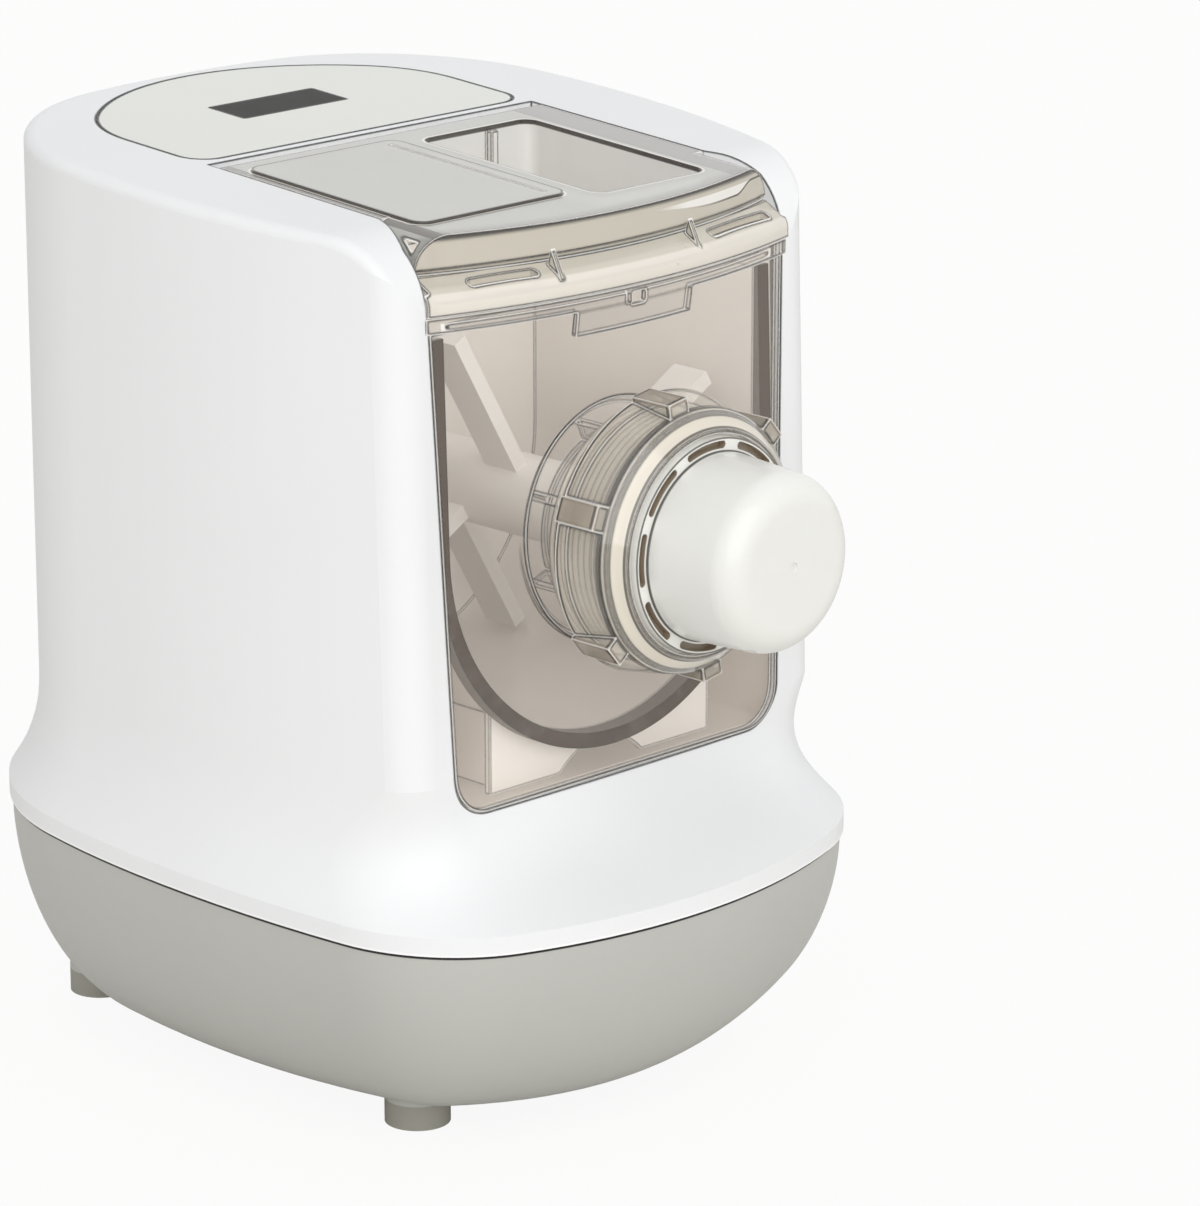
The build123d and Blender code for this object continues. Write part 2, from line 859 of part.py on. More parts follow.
def display_module():
    """The lit display that stands on the board under its window."""
    drop = panel_thickness + peg_length
    with BuildPart() as module:
        with BuildSketch(roof_plane(drop)):
            with Locations((0, (display_front_y + display_rear_y) / 2)):
                Rectangle(2 * (display_half_width - display_ledge - 1),
                          display_rear_y - display_front_y - 2 * display_ledge - 2)
        extrude(amount=drop - display_thickness - clearance)
    return module.part


# ---------------------------------------------------------------- lid


def lid_outline(plane, inset):
    near = opening_half_width - lid_gap - inset
    wide = opening_throat_half_width - lid_gap - inset
    bow = lid_front_bow - inset
    side_y = lid_bow_y - sqrt(bow ** 2 - wide ** 2)
    with BuildSketch(plane) as outline:
        with BuildLine():
            ThreePointArc((-wide, side_y), (0, lid_bow_y - bow), (wide, side_y))
            Polyline((wide, side_y), (near, opening_shoulder_y), (near, hinge_y), (-near, hinge_y),
                     (-near, opening_shoulder_y), (-wide, side_y))
        make_face()
    return outline.sketch


def lid_front():
    """The bowed band under the lid's front edge, the shelf that falls from it and the lip that stands out."""
    band_foot = lid_band_bottom - band_undercut
    wide = opening_throat_half_width - lid_gap
    low = lip_bottom - lip_thickness
    with BuildPart() as front:
        add(bowed([(lid_front_y + lid_front_wall, top_z(0)), (lid_front_y, top_z(0)),
                   (lid_front_y - band_swell, lid_band_bottom), (lid_front_y + band_swell, band_foot),
                   (lid_front_y + lid_front_wall, band_foot)], lid_bow_y))
        add(bowed([(shelf_root_y, lid_band_bottom - shelf_fall), (lid_front_y + 1, band_foot),
                   (lip_front_y, lip_top), (lip_front_y, lip_bottom), (shelf_root_y, lip_bottom)],
                  lip_bow_y, corner=(lip_front_y, lip_top), radius=lip_round))
        add(block(-lip_half_width, lip_half_width, seam_front_y, opening_throat_y - lid_gap, lip_bottom,
                  overall_height), mode=Mode.INTERSECT)
        for side in (-1, 1):
            inner, outer = sorted((side * wide, side * (lip_half_width + 1)))
            add(side_profile([(front_y(low) - clearance, low), (0, low), (0, overall_height),
                              (front_y(overall_height) - clearance, overall_height)], inner, outer),
                mode=Mode.SUBTRACT)
    return front.part


def lid_shoulders():
    """What is cut away to round the lid's two front corners, along the slope of its top."""
    reach = opening_throat_half_width - lid_gap - lid_shoulder_radius
    outward = Plane(origin=(0, opening_shoulder_y, top_z(opening_shoulder_y)), x_dir=(1, 0, 0),
                    z_dir=(0, -cos(slope_angle), -sin(slope_angle)))
    with BuildPart() as waste:
        with BuildSketch(outward):
            for side in (-1, 1):
                with Locations((side * (reach + lid_shoulder_radius), 0)):
                    Rectangle(2 * lid_shoulder_radius, 2 * lid_shoulder_radius)
            with Locations((-reach, -lid_shoulder_radius), (reach, -lid_shoulder_radius)):
                Circle(lid_shoulder_radius, mode=Mode.SUBTRACT)
        extrude(amount=opening_shoulder_y - seam_front_y)
    return waste.part


def lip_channel():
    """The hollow under the shelf and behind the lip."""
    half = opening_throat_half_width - lid_gap - lid_rim_wall
    ceiling = lid_band_bottom - band_undercut - shelf_wall
    inner_y = lip_front_y + lip_thickness
    rear_y = shelf_root_y - lid_rim_wall
    with BuildPart() as channel:
        add(bowed([(rear_y, ceiling), (lid_front_y + 1, ceiling), (inner_y, lip_top - lip_thickness),
                   (inner_y, lip_bottom - 1), (rear_y, lip_bottom - 1)], lip_bow_y))
        add(block(-half, half, seam_front_y, opening_throat_y, lip_bottom - 1, overall_height),
            mode=Mode.INTERSECT)
    return channel.part


def basin_block(grow, bottom):
    """The basin's hollow, or its outside when it is grown by the basin's wall."""
    with BuildPart() as solid:
        with BuildSketch(Plane.XY.offset(bottom)):
            with Locations(((basin_left + basin_right) / 2, (basin_front + basin_rear) / 2)):
                RectangleRounded(basin_right - basin_left + 2 * grow, basin_rear - basin_front + 2 * grow,
                                 basin_corner + grow)
        extrude(amount=overall_height - bottom)
    return solid.part


def lid():
    near = opening_half_width - lid_gap
    with BuildPart() as cover:
        extrude(lid_outline(roof_plane(0), 0), amount=-lid_rim_depth)
        extrude(lid_outline(roof_plane(lid_thickness), lid_rim_wall), amount=-lid_rim_depth,
                mode=Mode.SUBTRACT)
        add(lid_front())
        add(lid_shoulders(), mode=Mode.SUBTRACT)
        add(lip_channel(), mode=Mode.SUBTRACT)
        with BuildSketch(Plane.YZ.offset(-near)):
            with Locations((hinge_y, hinge_z)):
                Circle(lid_barrel_radius)
        extrude(amount=2 * near)
        add(basin_block(basin_wall, basin_bottom))
        add(basin_block(0, basin_bottom + basin_wall), mode=Mode.SUBTRACT)
        add(block(basin_rib_x - basin_rib_width / 2, basin_rib_x + basin_rib_width / 2,
                  basin_rear - basin_rib_depth, basin_rear + basin_wall / 2, basin_bottom + basin_wall / 2,
                  top_z(0)))
        for x in gusset_places:
            add(side_profile([(lid_front_y, lid_band_bottom + band_undercut),
                              (lid_front_y + lid_rim_wall, gusset_foot),
                              (lip_front_y + lip_thickness, lip_top - shelf_fall)],
                             x - gusset_width / 2, x + gusset_width / 2))
        for left, right in shelf_slots:
            with BuildSketch(Plane.XY.offset(lip_top - slot_inset)):
                mid = (left + right) / 2
                with Locations((mid, lip_bow_y - sqrt((lip_bow - slot_inset) ** 2 - mid ** 2))):
                    SlotOverall(right - left, slot_width, rotation=degrees(atan2(mid, lip_bow)))
            extrude(amount=2 * slot_inset, mode=Mode.SUBTRACT)
        with BuildSketch(roof_plane(0)):
            Rectangle(far, far)
        extrude(amount=40, mode=Mode.SUBTRACT)
        with BuildSketch(roof_plane(pad_height / 2)):
            with Locations(((pad_left + pad_right) / 2, (pad_front + pad_rear) / 2)):
                RectangleRounded(pad_right - pad_left, pad_rear - pad_front, pad_corner)
        extrude(amount=1.5 * pad_height)
        with BuildSketch(roof_plane(0)):
            with Locations((pad_line_x, (pad_front + pad_rear) / 2)):
                Rectangle(pad_line_width, pad_rear - pad_front - 2 * pad_corner)
        extrude(amount=2 * pad_height, mode=Mode.SUBTRACT)
        add(block(finger_x - finger_width / 2, finger_x + finger_width / 2, hinge_y - 2,
                  hinge_y + finger_rear, plunger_z - plunger_collar_radius, hinge_z))
        for side in (-1, 1):
            with BuildSketch(Plane.YZ.offset(side * (hinge_pin_inner_x - 1))):
                with Locations((hinge_y, hinge_z)):
                    Circle(hinge_pin_radius + idler_play)
            extrude(amount=side * (near + 2 - hinge_pin_inner_x), mode=Mode.SUBTRACT)
    return cover.part


def lid_hinge_pins():
    with BuildPart() as pins:
        for side in (-1, 1):
            with BuildSketch(Plane.YZ.offset(side * hinge_pin_inner_x)):
                with Locations((hinge_y, hinge_z)):
                    Circle(hinge_pin_radius)
            extrude(amount=side * (hinge_boss_x - 2 - hinge_pin_inner_x))
    return pins.part


# ---------------------------------------------------------------- front cover, die and nut

front_plane = Plane(origin=(0, front_foot_y, 0), x_dir=(1, 0, 0),
                    z_dir=(0, -cos(lean_angle), sin(lean_angle)))
cover_inner_y = front_y(nozzle_z) + cover_thickness


def front_cover():
    thread_start_y = collar_front_y + thread_rings * thread_pitch + 1.0
    thread = [(cover_inner_y, thread_root_radius - collar_wall), (cover_inner_y, thread_root_radius)]
    for index in range(thread_rings):
        y = thread_start_y - index * thread_pitch
        thread += [(y, thread_root_radius), (y - thread_flank, thread_crest_radius),
                   (y - thread_flank - thread_crest, thread_crest_radius),
                   (y - 2 * thread_flank - thread_crest, thread_root_radius)]
    thread += [(collar_front_y, thread_root_radius), (collar_front_y, thread_root_radius - collar_wall)]
    barrel_outer = barrel_radius + barrel_wall
    ledge_y = lip_front_y + ledge_setback
    tab_y = lip_front_y + tab_setback
    ledge_foot = tab_bottom - cover_thickness
    with BuildPart() as ledge:
        add(bowed([(ledge_y, cover_top), (ledge_y, ledge_bottom), (ledge_y + ledge_wall, ledge_bottom),
                   (ledge_y + ledge_wall, cover_top - ledge_wall), (ledge_rear_y, cover_top - ledge_wall),
                   (ledge_rear_y, cover_top)], lip_bow_y))
        add(bowed([(ledge_y, ledge_bottom + 1), (tab_y, tab_bottom), (tab_y + tab_thickness, tab_bottom),
                   (ledge_y + ledge_wall, ledge_bottom + 1)],
                  lip_bow_y, degrees(tab_half_width / lip_bow)))
        add(side_profile([(seam_front_y, ledge_foot), (front_y(ledge_foot), ledge_foot),
                          (front_y(overall_height), overall_height), (seam_front_y, overall_height)],
                         -lip_half_width, lip_half_width), mode=Mode.INTERSECT)
    with BuildPart() as cover:
        extrude(window_sketch(front_plane, cover_gap, cover_top), amount=-cover_thickness)
        add(ledge.part)
        add(ring(0, thread_root_radius - collar_wall, seam_front_y, tub_front_y), mode=Mode.SUBTRACT)
        add(turned(thread))
        add(ring(barrel_radius, barrel_outer, collar_front_y, cover_inner_y))
        add(ring(barrel_radius, thread_root_radius, collar_front_y, collar_front_y + collar_front_wall))
        for index in range(spoke_count):
            turn = radians(360 * (index + 0.5) / spoke_count)
            middle = (barrel_outer + thread_root_radius - collar_wall) / 2
            with BuildSketch(face_plane(cover_inner_y)):
                with Locations((middle * cos(turn), nozzle_z + middle * sin(turn))):
                    Rectangle(thread_root_radius - collar_wall - barrel_outer + 1, spoke_width,
                              rotation=degrees(turn))
            extrude(amount=cover_inner_y - collar_front_y - 1)
        add(ring(seal_inner_radius, seal_outer_radius, collar_front_y, collar_front_y + seal_depth),
            mode=Mode.SUBTRACT)
        add(block(-sight_half_width, sight_half_width, seam_front_y, ledge_y + ledge_wall + 1,
                  ledge_bottom - 1, ledge_bottom + 3), mode=Mode.SUBTRACT)
    return cover.part


def u_shape(plane, radius, top):
    """A half round trough's section with straight sides up to this height."""
    with BuildSketch(plane) as section:
        with Locations(output_axis):
            Circle(radius)
        with Locations((0, (nozzle_z + top) / 2)):
            Rectangle(2 * radius, top - nozzle_z)
        if radius > top - nozzle_z:
            with Locations((0, top + radius / 2)):
                Rectangle(3 * radius, radius, mode=Mode.SUBTRACT)
    return section.sketch


def cover_gasket():
    with BuildPart() as gasket:
        depth = gasket_rear_y - front_foot_y
        extrude(u_shape(face_plane(gasket_rear_y), gasket_outer_radius, gasket_top), amount=depth)
        extrude(u_shape(face_plane(gasket_rear_y), gasket_inner_radius, gasket_top + 10), amount=depth,
                mode=Mode.SUBTRACT)
        inner = front_foot_y + cover_thickness / cos(lean_angle)
        inner_top = inner + front_lean * overall_height
        add(side_profile([(seam_front_y, 0), (inner, 0), (inner_top, overall_height),
                          (seam_front_y, overall_height)], -body_half_width, body_half_width),
            mode=Mode.SUBTRACT)
    return gasket.part


def collar_seal():
    return ring(seal_inner_radius, seal_outer_radius, collar_front_y, collar_front_y + seal_depth)


def forming_die():
    flange_front = collar_front_y - flange_thickness
    inner_tip = cup_tip_radius - cup_wall
    with BuildPart() as die:
        with BuildSketch(Plane(origin=(0, 0, nozzle_z), x_dir=(0, 1, 0), z_dir=(1, 0, 0))) as profile:
            with BuildLine():
                Polyline((die_tip_y, 0), (die_tip_y, cup_tip_radius), (rim_ring_front_y, cup_base_radius),
                         (rim_ring_front_y, rim_ring_radius), (flange_front, rim_ring_radius),
                         (flange_front, flange_radius), (collar_front_y, flange_radius),
                         (collar_front_y, cup_base_radius - cup_wall),
                         (rim_ring_front_y, cup_base_radius - cup_wall),
                         (die_tip_y + cup_wall, inner_tip), (die_tip_y + cup_wall, 0), close=True)
            make_face()
            fillet(profile.vertices().sort_by_distance((die_tip_y, cup_tip_radius))[0], cup_round)
            fillet(profile.vertices().sort_by_distance((die_tip_y + cup_wall, inner_tip))[0],
                   cup_round - cup_wall)
        revolve(axis=axis_along_y(*output_axis))
        middle = (cup_base_radius + rim_ring_radius) / 2
        for index in range(notch_count):
            turn = notch_turn + 360 * index / notch_count
            arc = CenterArc(output_axis, middle, turn - notch_sweep / 2, notch_sweep)
            with BuildSketch(face_plane(rim_ring_front_y + notch_depth)):
                SlotArc(arc, notch_width)
            extrude(amount=notch_depth + 1, mode=Mode.SUBTRACT)
        with BuildSketch(Plane.XY.offset(nozzle_z - flange_radius)):
            with Locations((0, (die_tip_y + rim_ring_front_y) / 2)):
                with GridLocations(*die_hole_pitch, 3, 3):
                    Circle(die_hole_radius)
        extrude(amount=flange_radius, mode=Mode.SUBTRACT)
        add(ring(0, gate_mark_radius, die_tip_y - 1, die_tip_y + gate_mark_depth), mode=Mode.SUBTRACT)
    return die.part


def locking_nut():
    bore = thread_crest_radius + clearance
    lip_rear = collar_front_y - flange_thickness - clearance
    with BuildPart() as nut:
        add(turned([(nut_rear_y, bore), (nut_rear_y, nut_rear_radius),
                    (nut_shoulder_y, nut_shoulder_radius), (nut_front_y, nut_front_radius),
                    (nut_front_y, nut_mouth_radius), (lip_rear, nut_mouth_radius), (lip_rear, bore)]))
        for index in range(nut_lug_count):
            turn = radians(nut_lug_turn + 360 * index / nut_lug_count)
            middle = nut_shoulder_radius
            with BuildSketch(face_plane(nut_rear_y)):
                with Locations((middle * cos(turn), nozzle_z + middle * sin(turn))):
                    Rectangle(2 * nut_lug_height, nut_lug_width, rotation=degrees(turn))
            extrude(amount=nut_rear_y - nut_shoulder_y)
        add(ring(0, bore, lip_rear, nut_rear_y), mode=Mode.SUBTRACT)
    return nut.part


# ---------------------------------------------------------------- mixing tub and agitator


def mixing_tub():
    depth = tub_rear_y - tub_front_y
    with BuildPart() as tub:
        extrude(u_shape(face_plane(tub_rear_y), tub_outer_radius, tub_top), amount=depth)
        for side in (-1, 1):
            x = side * runner_x
            add(block(x - runner_width / 2, x + runner_width / 2, tub_front_y + 4, tub_rear_y,
                      floor_top + clearance, nozzle_z - tub_inner_radius / 2))
            inner, outer = sorted((side * tub_inner_radius, side * (tub_outer_radius + tub_rim)))
            add(block(inner, outer, tub_front_y + 4, tub_rear_y, tub_top - 2.5, tub_top))
        with BuildSketch(face_plane(tub_front_y + tub_wall)):
            with Locations((0, (grip_bottom + nozzle_z - tub_inner_radius / 2) / 2)):
                Rectangle(2 * grip_half_width, nozzle_z - tub_inner_radius / 2 - grip_bottom)
            with Locations((0, grip_bottom - grip_scoop_radius / 1.5)):
                Circle(grip_scoop_radius, mode=Mode.SUBTRACT)
        extrude(amount=tub_wall)
        extrude(u_shape(face_plane(tub_rear_y - tub_rear_wall), tub_inner_radius, tub_top + 10),
                amount=depth + 20, mode=Mode.SUBTRACT)
        add(ring(0, journal_radius + journal_gap, 20, 50), mode=Mode.SUBTRACT)
        add(ring(0, tub_seal_radius, tub_rear_y - tub_rear_wall + 1, 50), mode=Mode.SUBTRACT)
    return tub.part


def tub_shaft_seal():
    return ring(journal_radius + journal_gap, tub_seal_radius, tub_rear_y - tub_rear_wall + 1, tub_rear_y)


def hexagon(flats, start, end):
    with BuildPart() as bar:
        with BuildSketch(face_plane(end)):
            with Locations(output_axis):
                RegularPolygon(flats / 2, 6, major_radius=False)
        extrude(amount=end - start)
    return bar.part


def agitator_shaft():
    shoulder_y = tub_rear_y - tub_rear_wall - clearance
    with BuildPart() as shaft:
        add(ring(0, shaft_radius, shaft_front_y - 1, paddle_rear_y))
        add(ring(0, paddle_hub_radius, paddle_rear_y, shoulder_y))
        add(ring(0, journal_radius, shoulder_y, tub_rear_y + 0.5))
        add(hexagon(tail_flats, tub_rear_y, tail_rear_y))
    return shaft.part


def extruding_screw():
    """A hub with one helical flight that pushes the dough into the barrel."""
    length = screw_rear_y - screw_front_y
    rise = length - screw_flight_wall
    with BuildPart() as screw:
        add(ring(shaft_radius, screw_hub_radius, screw_front_y, screw_rear_y))
        start = Plane(origin=(0, screw_rear_y - screw_flight_wall / 2, nozzle_z), x_dir=(1, 0, 0),
                      z_dir=(0, -1, 0))
        middle = (screw_hub_radius + screw_flight_radius) / 2 - 1
        path = Helix(rise / screw_turns, rise, middle, mode=Mode.PRIVATE)
        path = start.from_local_coords(path)
        with BuildSketch(Plane(origin=path @ 0, x_dir=(1, 0, 0), z_dir=path % 0)):
            Rectangle(screw_flight_radius - screw_hub_radius + 2, screw_flight_wall)
        sweep(path=path, is_frenet=True)
        add(ring(0, shaft_radius, screw_front_y - 5, screw_rear_y + 5), mode=Mode.SUBTRACT)
    return screw.part


def mixing_paddles():
    length = paddle_rear_y - screw_rear_y
    with BuildPart() as paddles:
        add(ring(shaft_radius, paddle_hub_radius, screw_rear_y, paddle_rear_y))
        for index in range(paddle_count):
            turn = radians(360 * index / paddle_count + 30)
            y = screw_rear_y + length * (index + 0.75) / (paddle_count + 0.5)
            middle = (paddle_reach + paddle_hub_radius) / 2
            with BuildSketch(face_plane(y + paddle_width / 2)):
                with Locations((middle * cos(turn), nozzle_z + middle * sin(turn))):
                    Rectangle(paddle_reach - paddle_hub_radius + 2, paddle_thickness, rotation=degrees(turn))
            extrude(amount=paddle_width)
        add(ring(0, shaft_radius, screw_rear_y - 5, paddle_rear_y + 5), mode=Mode.SUBTRACT)
    return paddles.part


# ---------------------------------------------------------------- inner frame and interlock


def ear_centres(turns, centre, radius):
    return [(centre[0] + radius * cos(radians(turn)), centre[1] + radius * sin(radians(turn)))
            for turn in turns]


def inner_frame():
    liner_outer = liner_half_width + liner_wall
    with BuildPart() as frame:
        add(side_profile([(bulkhead_front_y, chamber_floor), (bulkhead_rear_y, chamber_floor),
                          (bulkhead_rear_y, bulkhead_top), (bulkhead_front_y, bulkhead_top)],
                         -bulkhead_half_width, bulkhead_half_width))
        floor_front = front_y(chamber_floor) + wall + liner_setback
        liner_front = front_y(liner_top) + wall + liner_setback
        add(block(-liner_outer, liner_outer, floor_front, bulkhead_front_y, chamber_floor, floor_top))
        for side in (-1, 1):
            inner, outer = sorted((side * liner_half_width, side * liner_outer))
            add(side_profile([(floor_front, chamber_floor), (bulkhead_front_y, chamber_floor),
                              (bulkhead_front_y, liner_top), (liner_front, liner_top)], inner, outer))
        shelf_top = plunger_z - switch_height / 2
        add(block(finger_x - switch_width / 2 - 2, finger_x + switch_width / 2 + 2, bulkhead_rear_y,
                  bulkhead_rear_y + plunger_travel + switch_depth + 6, shelf_top - shelf_thickness,
                  shelf_top))
        add(ring(0, bearing_outer_radius - 2, bulkhead_front_y - 1, bulkhead_rear_y + 1), mode=Mode.SUBTRACT)
        add(ring(0, plunger_radius + 2 * journal_gap, bulkhead_front_y - 1, bulkhead_rear_y + 1,
                 (finger_x, plunger_z)), mode=Mode.SUBTRACT)
        for side in (-1, 1):
            for z in frame_screw_heights:
                add(ring(0, screw_radius, bulkhead_front_y - 1, bulkhead_rear_y + 1,
                         (side * frame_screw_x, z)), mode=Mode.SUBTRACT)
        for centre in case_screw_centres()[0]:
            add(ring(0, screw_radius, bulkhead_front_y + 0.5, bulkhead_rear_y + 1, centre),
                mode=Mode.SUBTRACT)
    return frame.part


def bulkhead_seal():
    return ring(socket_radius + journal_gap, bearing_outer_radius - 2, bulkhead_front_y, bulkhead_rear_y)


def frame_screws():
    """Four screws that hold the bulkhead to the housing's ribs, heads to the front."""
    with BuildPart() as screws:
        for side in (-1, 1):
            for z in frame_screw_heights:
                centre = (side * frame_screw_x, z)
                add(ring(0, screw_head_radius, bulkhead_front_y - screw_head_height, bulkhead_front_y,
                         centre))
                add(ring(0, screw_radius, bulkhead_front_y, bulkhead_rear_y + frame_screw_length - 1, centre))
    return screws.part


def interlock_plunger():
    tip_y = hinge_y + finger_rear + clearance
    collar_y = bulkhead_rear_y + plunger_travel + clearance
    with BuildPart() as plunger:
        add(ring(0, plunger_radius, tip_y, collar_y + 2.5, (finger_x, plunger_z)))
        add(ring(0, plunger_collar_radius, collar_y, collar_y + 1, (finger_x, plunger_z)))
    return plunger.part


def interlock_switch():
    front = bulkhead_rear_y + plunger_travel + 2.5 + 2 * clearance
    shelf_top = plunger_z - switch_height / 2
    half = switch_width / 2
    with BuildPart() as switch:
        add(block(finger_x - half, finger_x + half, front, front + switch_depth, shelf_top,
                  shelf_top + switch_height))
        for x in (finger_x - terminal_pitch, finger_x, finger_x + terminal_pitch):
            add(block(x - terminal_width / 2, x + terminal_width / 2, front + switch_depth,
                      front + switch_depth + terminal_length, plunger_z - terminal_thickness / 2,
                      plunger_z + terminal_thickness / 2))
    return switch.part


# ---------------------------------------------------------------- gear train


def gear_sketch(plane, teeth, module, centre, phase):
    """A spur gear with involute flanks, with a tooth centred at the phase angle."""
    pitch = teeth * module / 2
    tip = pitch + addendum * module
    root = pitch - dedendum * module
    base = pitch * cos(radians(pressure_angle))
    start = max(base, root + 0.05)

    def half_angle(radius):
        lean = acos(min(base / radius, 1.0))
        rest = radians(pressure_angle)
        return tooth_fill * pi / (2 * teeth) + (tan(rest) - rest) - (tan(lean) - lean)

    radii = (start, pitch, tip)
    flank = [(root, half_angle(start))] + [(radius, half_angle(radius)) for radius in radii]
    points = []
    for index in range(teeth):
        middle = phase + 2 * pi * index / teeth
        for radius, half in flank:
            points.append((centre[0] + radius * cos(middle - half), centre[1] + radius * sin(middle - half)))
        for radius, half in reversed(flank):
            points.append((centre[0] + radius * cos(middle + half), centre[1] + radius * sin(middle + half)))
    with BuildSketch(plane) as gear:
        with BuildLine():
            Polyline(*points, close=True)
        make_face()
    return gear.sketch


def gear(teeth, module, centre, phase, start):
    with BuildPart() as wheel:
        extrude(gear_sketch(face_plane(start + gear_width), teeth, module, centre, phase), amount=gear_width,
                clean=False)
    return wheel.part


def direction(start, end):
    return atan2(end[1] - start[1], end[0] - start[0])


def gap_phase(teeth, towards):
    """The phase that puts a gap between teeth in this direction."""
    return towards + pi / teeth


def motor_pinion():
    with BuildPart() as pinion:
        add(gear(stage_1_teeth[0], stage_1_module, motor_axis, direction(motor_axis, idler_1_axis),
                 layer_a_y))
        add(ring(0, motor_shaft_radius, layer_a_y - 1, layer_b_y, motor_axis), mode=Mode.SUBTRACT,
            clean=False)
    return pinion.part


def compound_gear(centre, lower, upper, bore):
    """Two gears and the hub between them, turning on one pin."""
    with BuildPart() as wheels:
        add(gear(*lower), clean=False)
        add(gear(*upper), clean=False)
        hub = min(lower[0] * lower[1], upper[0] * upper[1]) / 2 - dedendum * stage_2_module
        add(ring(0, hub, layer_a_y + gear_width - 1, layer_b_y + 1, centre), clean=False)
        add(ring(0, bore, layer_a_y - 5, layer_b_y + gear_width + 5, centre), mode=Mode.SUBTRACT, clean=False)
    return wheels.part


def idler_gear_1():
    mesh_in = direction(idler_1_axis, motor_axis)
    mesh_out = direction(idler_1_axis, idler_2_axis)
    return compound_gear(
        idler_1_axis,
        (stage_1_teeth[1], stage_1_module, idler_1_axis, gap_phase(stage_1_teeth[1], mesh_in), layer_a_y),
        (stage_2_teeth[0], stage_2_module, idler_1_axis, mesh_out, layer_b_y),
        idler_shaft_radius + idler_play)


def idler_gear_2():
    mesh_in = direction(idler_2_axis, idler_1_axis)
    mesh_out = direction(idler_2_axis, output_axis)
    return compound_gear(
        idler_2_axis,
        (stage_3_teeth[0], stage_3_module, idler_2_axis, mesh_out, layer_a_y),
        (stage_2_teeth[1], stage_2_module, idler_2_axis, gap_phase(stage_2_teeth[1], mesh_in), layer_b_y),
        idler_shaft_radius + idler_play)


def output_gear():
    mesh_in = direction(output_axis, idler_2_axis)
    with BuildPart() as wheel:
        add(gear(stage_3_teeth[1], stage_3_module, output_axis, gap_phase(stage_3_teeth[1], mesh_in),
                 layer_a_y))
        add(hexagon(2 * (socket_radius - 2), layer_a_y - 1, layer_b_y), mode=Mode.SUBTRACT, clean=False)
    return wheel.part


def output_shaft():
    """The socket that drives the agitator, the output gear's seat and the rear journal."""
    socket_front = bulkhead_front_y + clearance
    with BuildPart() as shaft:
        add(ring(0, socket_radius, socket_front, layer_a_y))
        add(hexagon(2 * (socket_radius - 2), layer_a_y, layer_a_y + gear_width))
        add(ring(0, output_journal_radius, layer_a_y + gear_width, case_end_y - 1))
        add(hexagon(tail_flats + 2 * socket_play, socket_front - 1, socket_front + socket_depth),
            mode=Mode.SUBTRACT)
    return shaft.part


def output_bearing():
    return ring(socket_radius + idler_play, bearing_outer_radius, case_front_y + case_wall,
                case_front_y + case_wall + bearing_width)


def idler_pins():
    with BuildPart() as pins:
        for centre in (idler_1_axis, idler_2_axis):
            add(ring(0, idler_shaft_radius, case_front_y + case_wall, case_rear_y, centre))
    return pins.part


def tip_radius(teeth, module):
    return teeth * module / 2 + addendum * module


def gearbox_outline(plane, skin):
    """One hull around all the gears."""
    with BuildSketch(plane) as outline:
        for centre, radius in ((output_axis, tip_radius(stage_3_teeth[1], stage_3_module)),
                               (idler_2_axis, tip_radius(stage_2_teeth[1], stage_2_module)),
                               (idler_1_axis, tip_radius(stage_1_teeth[1], stage_1_module))):
            with Locations(centre):
                Circle(radius + case_margin + skin)
        with Locations(motor_axis):
            Circle(motor_seat_radius - case_skin + skin)
        make_hull()
    return outline.sketch


def case_screw_centres():
    """The screws that share the case's upper ears with the bulkhead, and those in its lower ears."""
    reach = tip_radius(stage_3_teeth[1], stage_3_module) + case_margin + case_skin + ear_overhang
    upper = ear_centres(upper_ear_turns, output_axis, reach)
    lower = ear_centres(lower_ear_turns, motor_axis, motor_seat_radius + ear_overhang)
    return upper, lower


def gearbox_case():
    upper, lower = case_screw_centres()
    with BuildPart() as case:
        extrude(gearbox_outline(face_plane(case_rear_y), case_skin), amount=case_rear_y - case_front_y)
        for centre in upper + lower:
            add(ring(0, case_ear_radius, case_front_y, case_rear_y, centre))
        extrude(gearbox_outline(face_plane(case_rear_y), 0), amount=case_rear_y - case_front_y - case_wall,
                mode=Mode.SUBTRACT)
        for centre in upper + lower:
            add(ring(0, case_ear_radius - 1, case_front_y, case_rear_y, centre))
        add(ring(0, bearing_outer_radius + case_skin, case_front_y, case_front_y + case_wall + bearing_width))
        add(ring(0, socket_radius + 4 * journal_gap, 0, 100), mode=Mode.SUBTRACT)
        add(ring(0, bearing_outer_radius, case_front_y + case_wall, 60), mode=Mode.SUBTRACT)
        for centre in (idler_1_axis, idler_2_axis):
            add(ring(0, idler_shaft_radius + case_skin, case_front_y, layer_a_y - 1, centre))
            add(ring(0, idler_shaft_radius, case_front_y + case_wall, 100, centre), mode=Mode.SUBTRACT)
        add(ring(0, bushing_radius + 1, 0, 60, motor_axis), mode=Mode.SUBTRACT)
        for centre in ear_centres(motor_screw_turns, motor_axis, motor_screw_circle):
            add(ring(0, screw_radius, 0, 60, centre), mode=Mode.SUBTRACT)
        for centre in upper:
            add(ring(0, screw_radius, 0, 100, centre), mode=Mode.SUBTRACT)
        for centre in lower:
            add(ring(0, screw_radius, case_front_y + case_wall, 100, centre), mode=Mode.SUBTRACT)
    return case.part


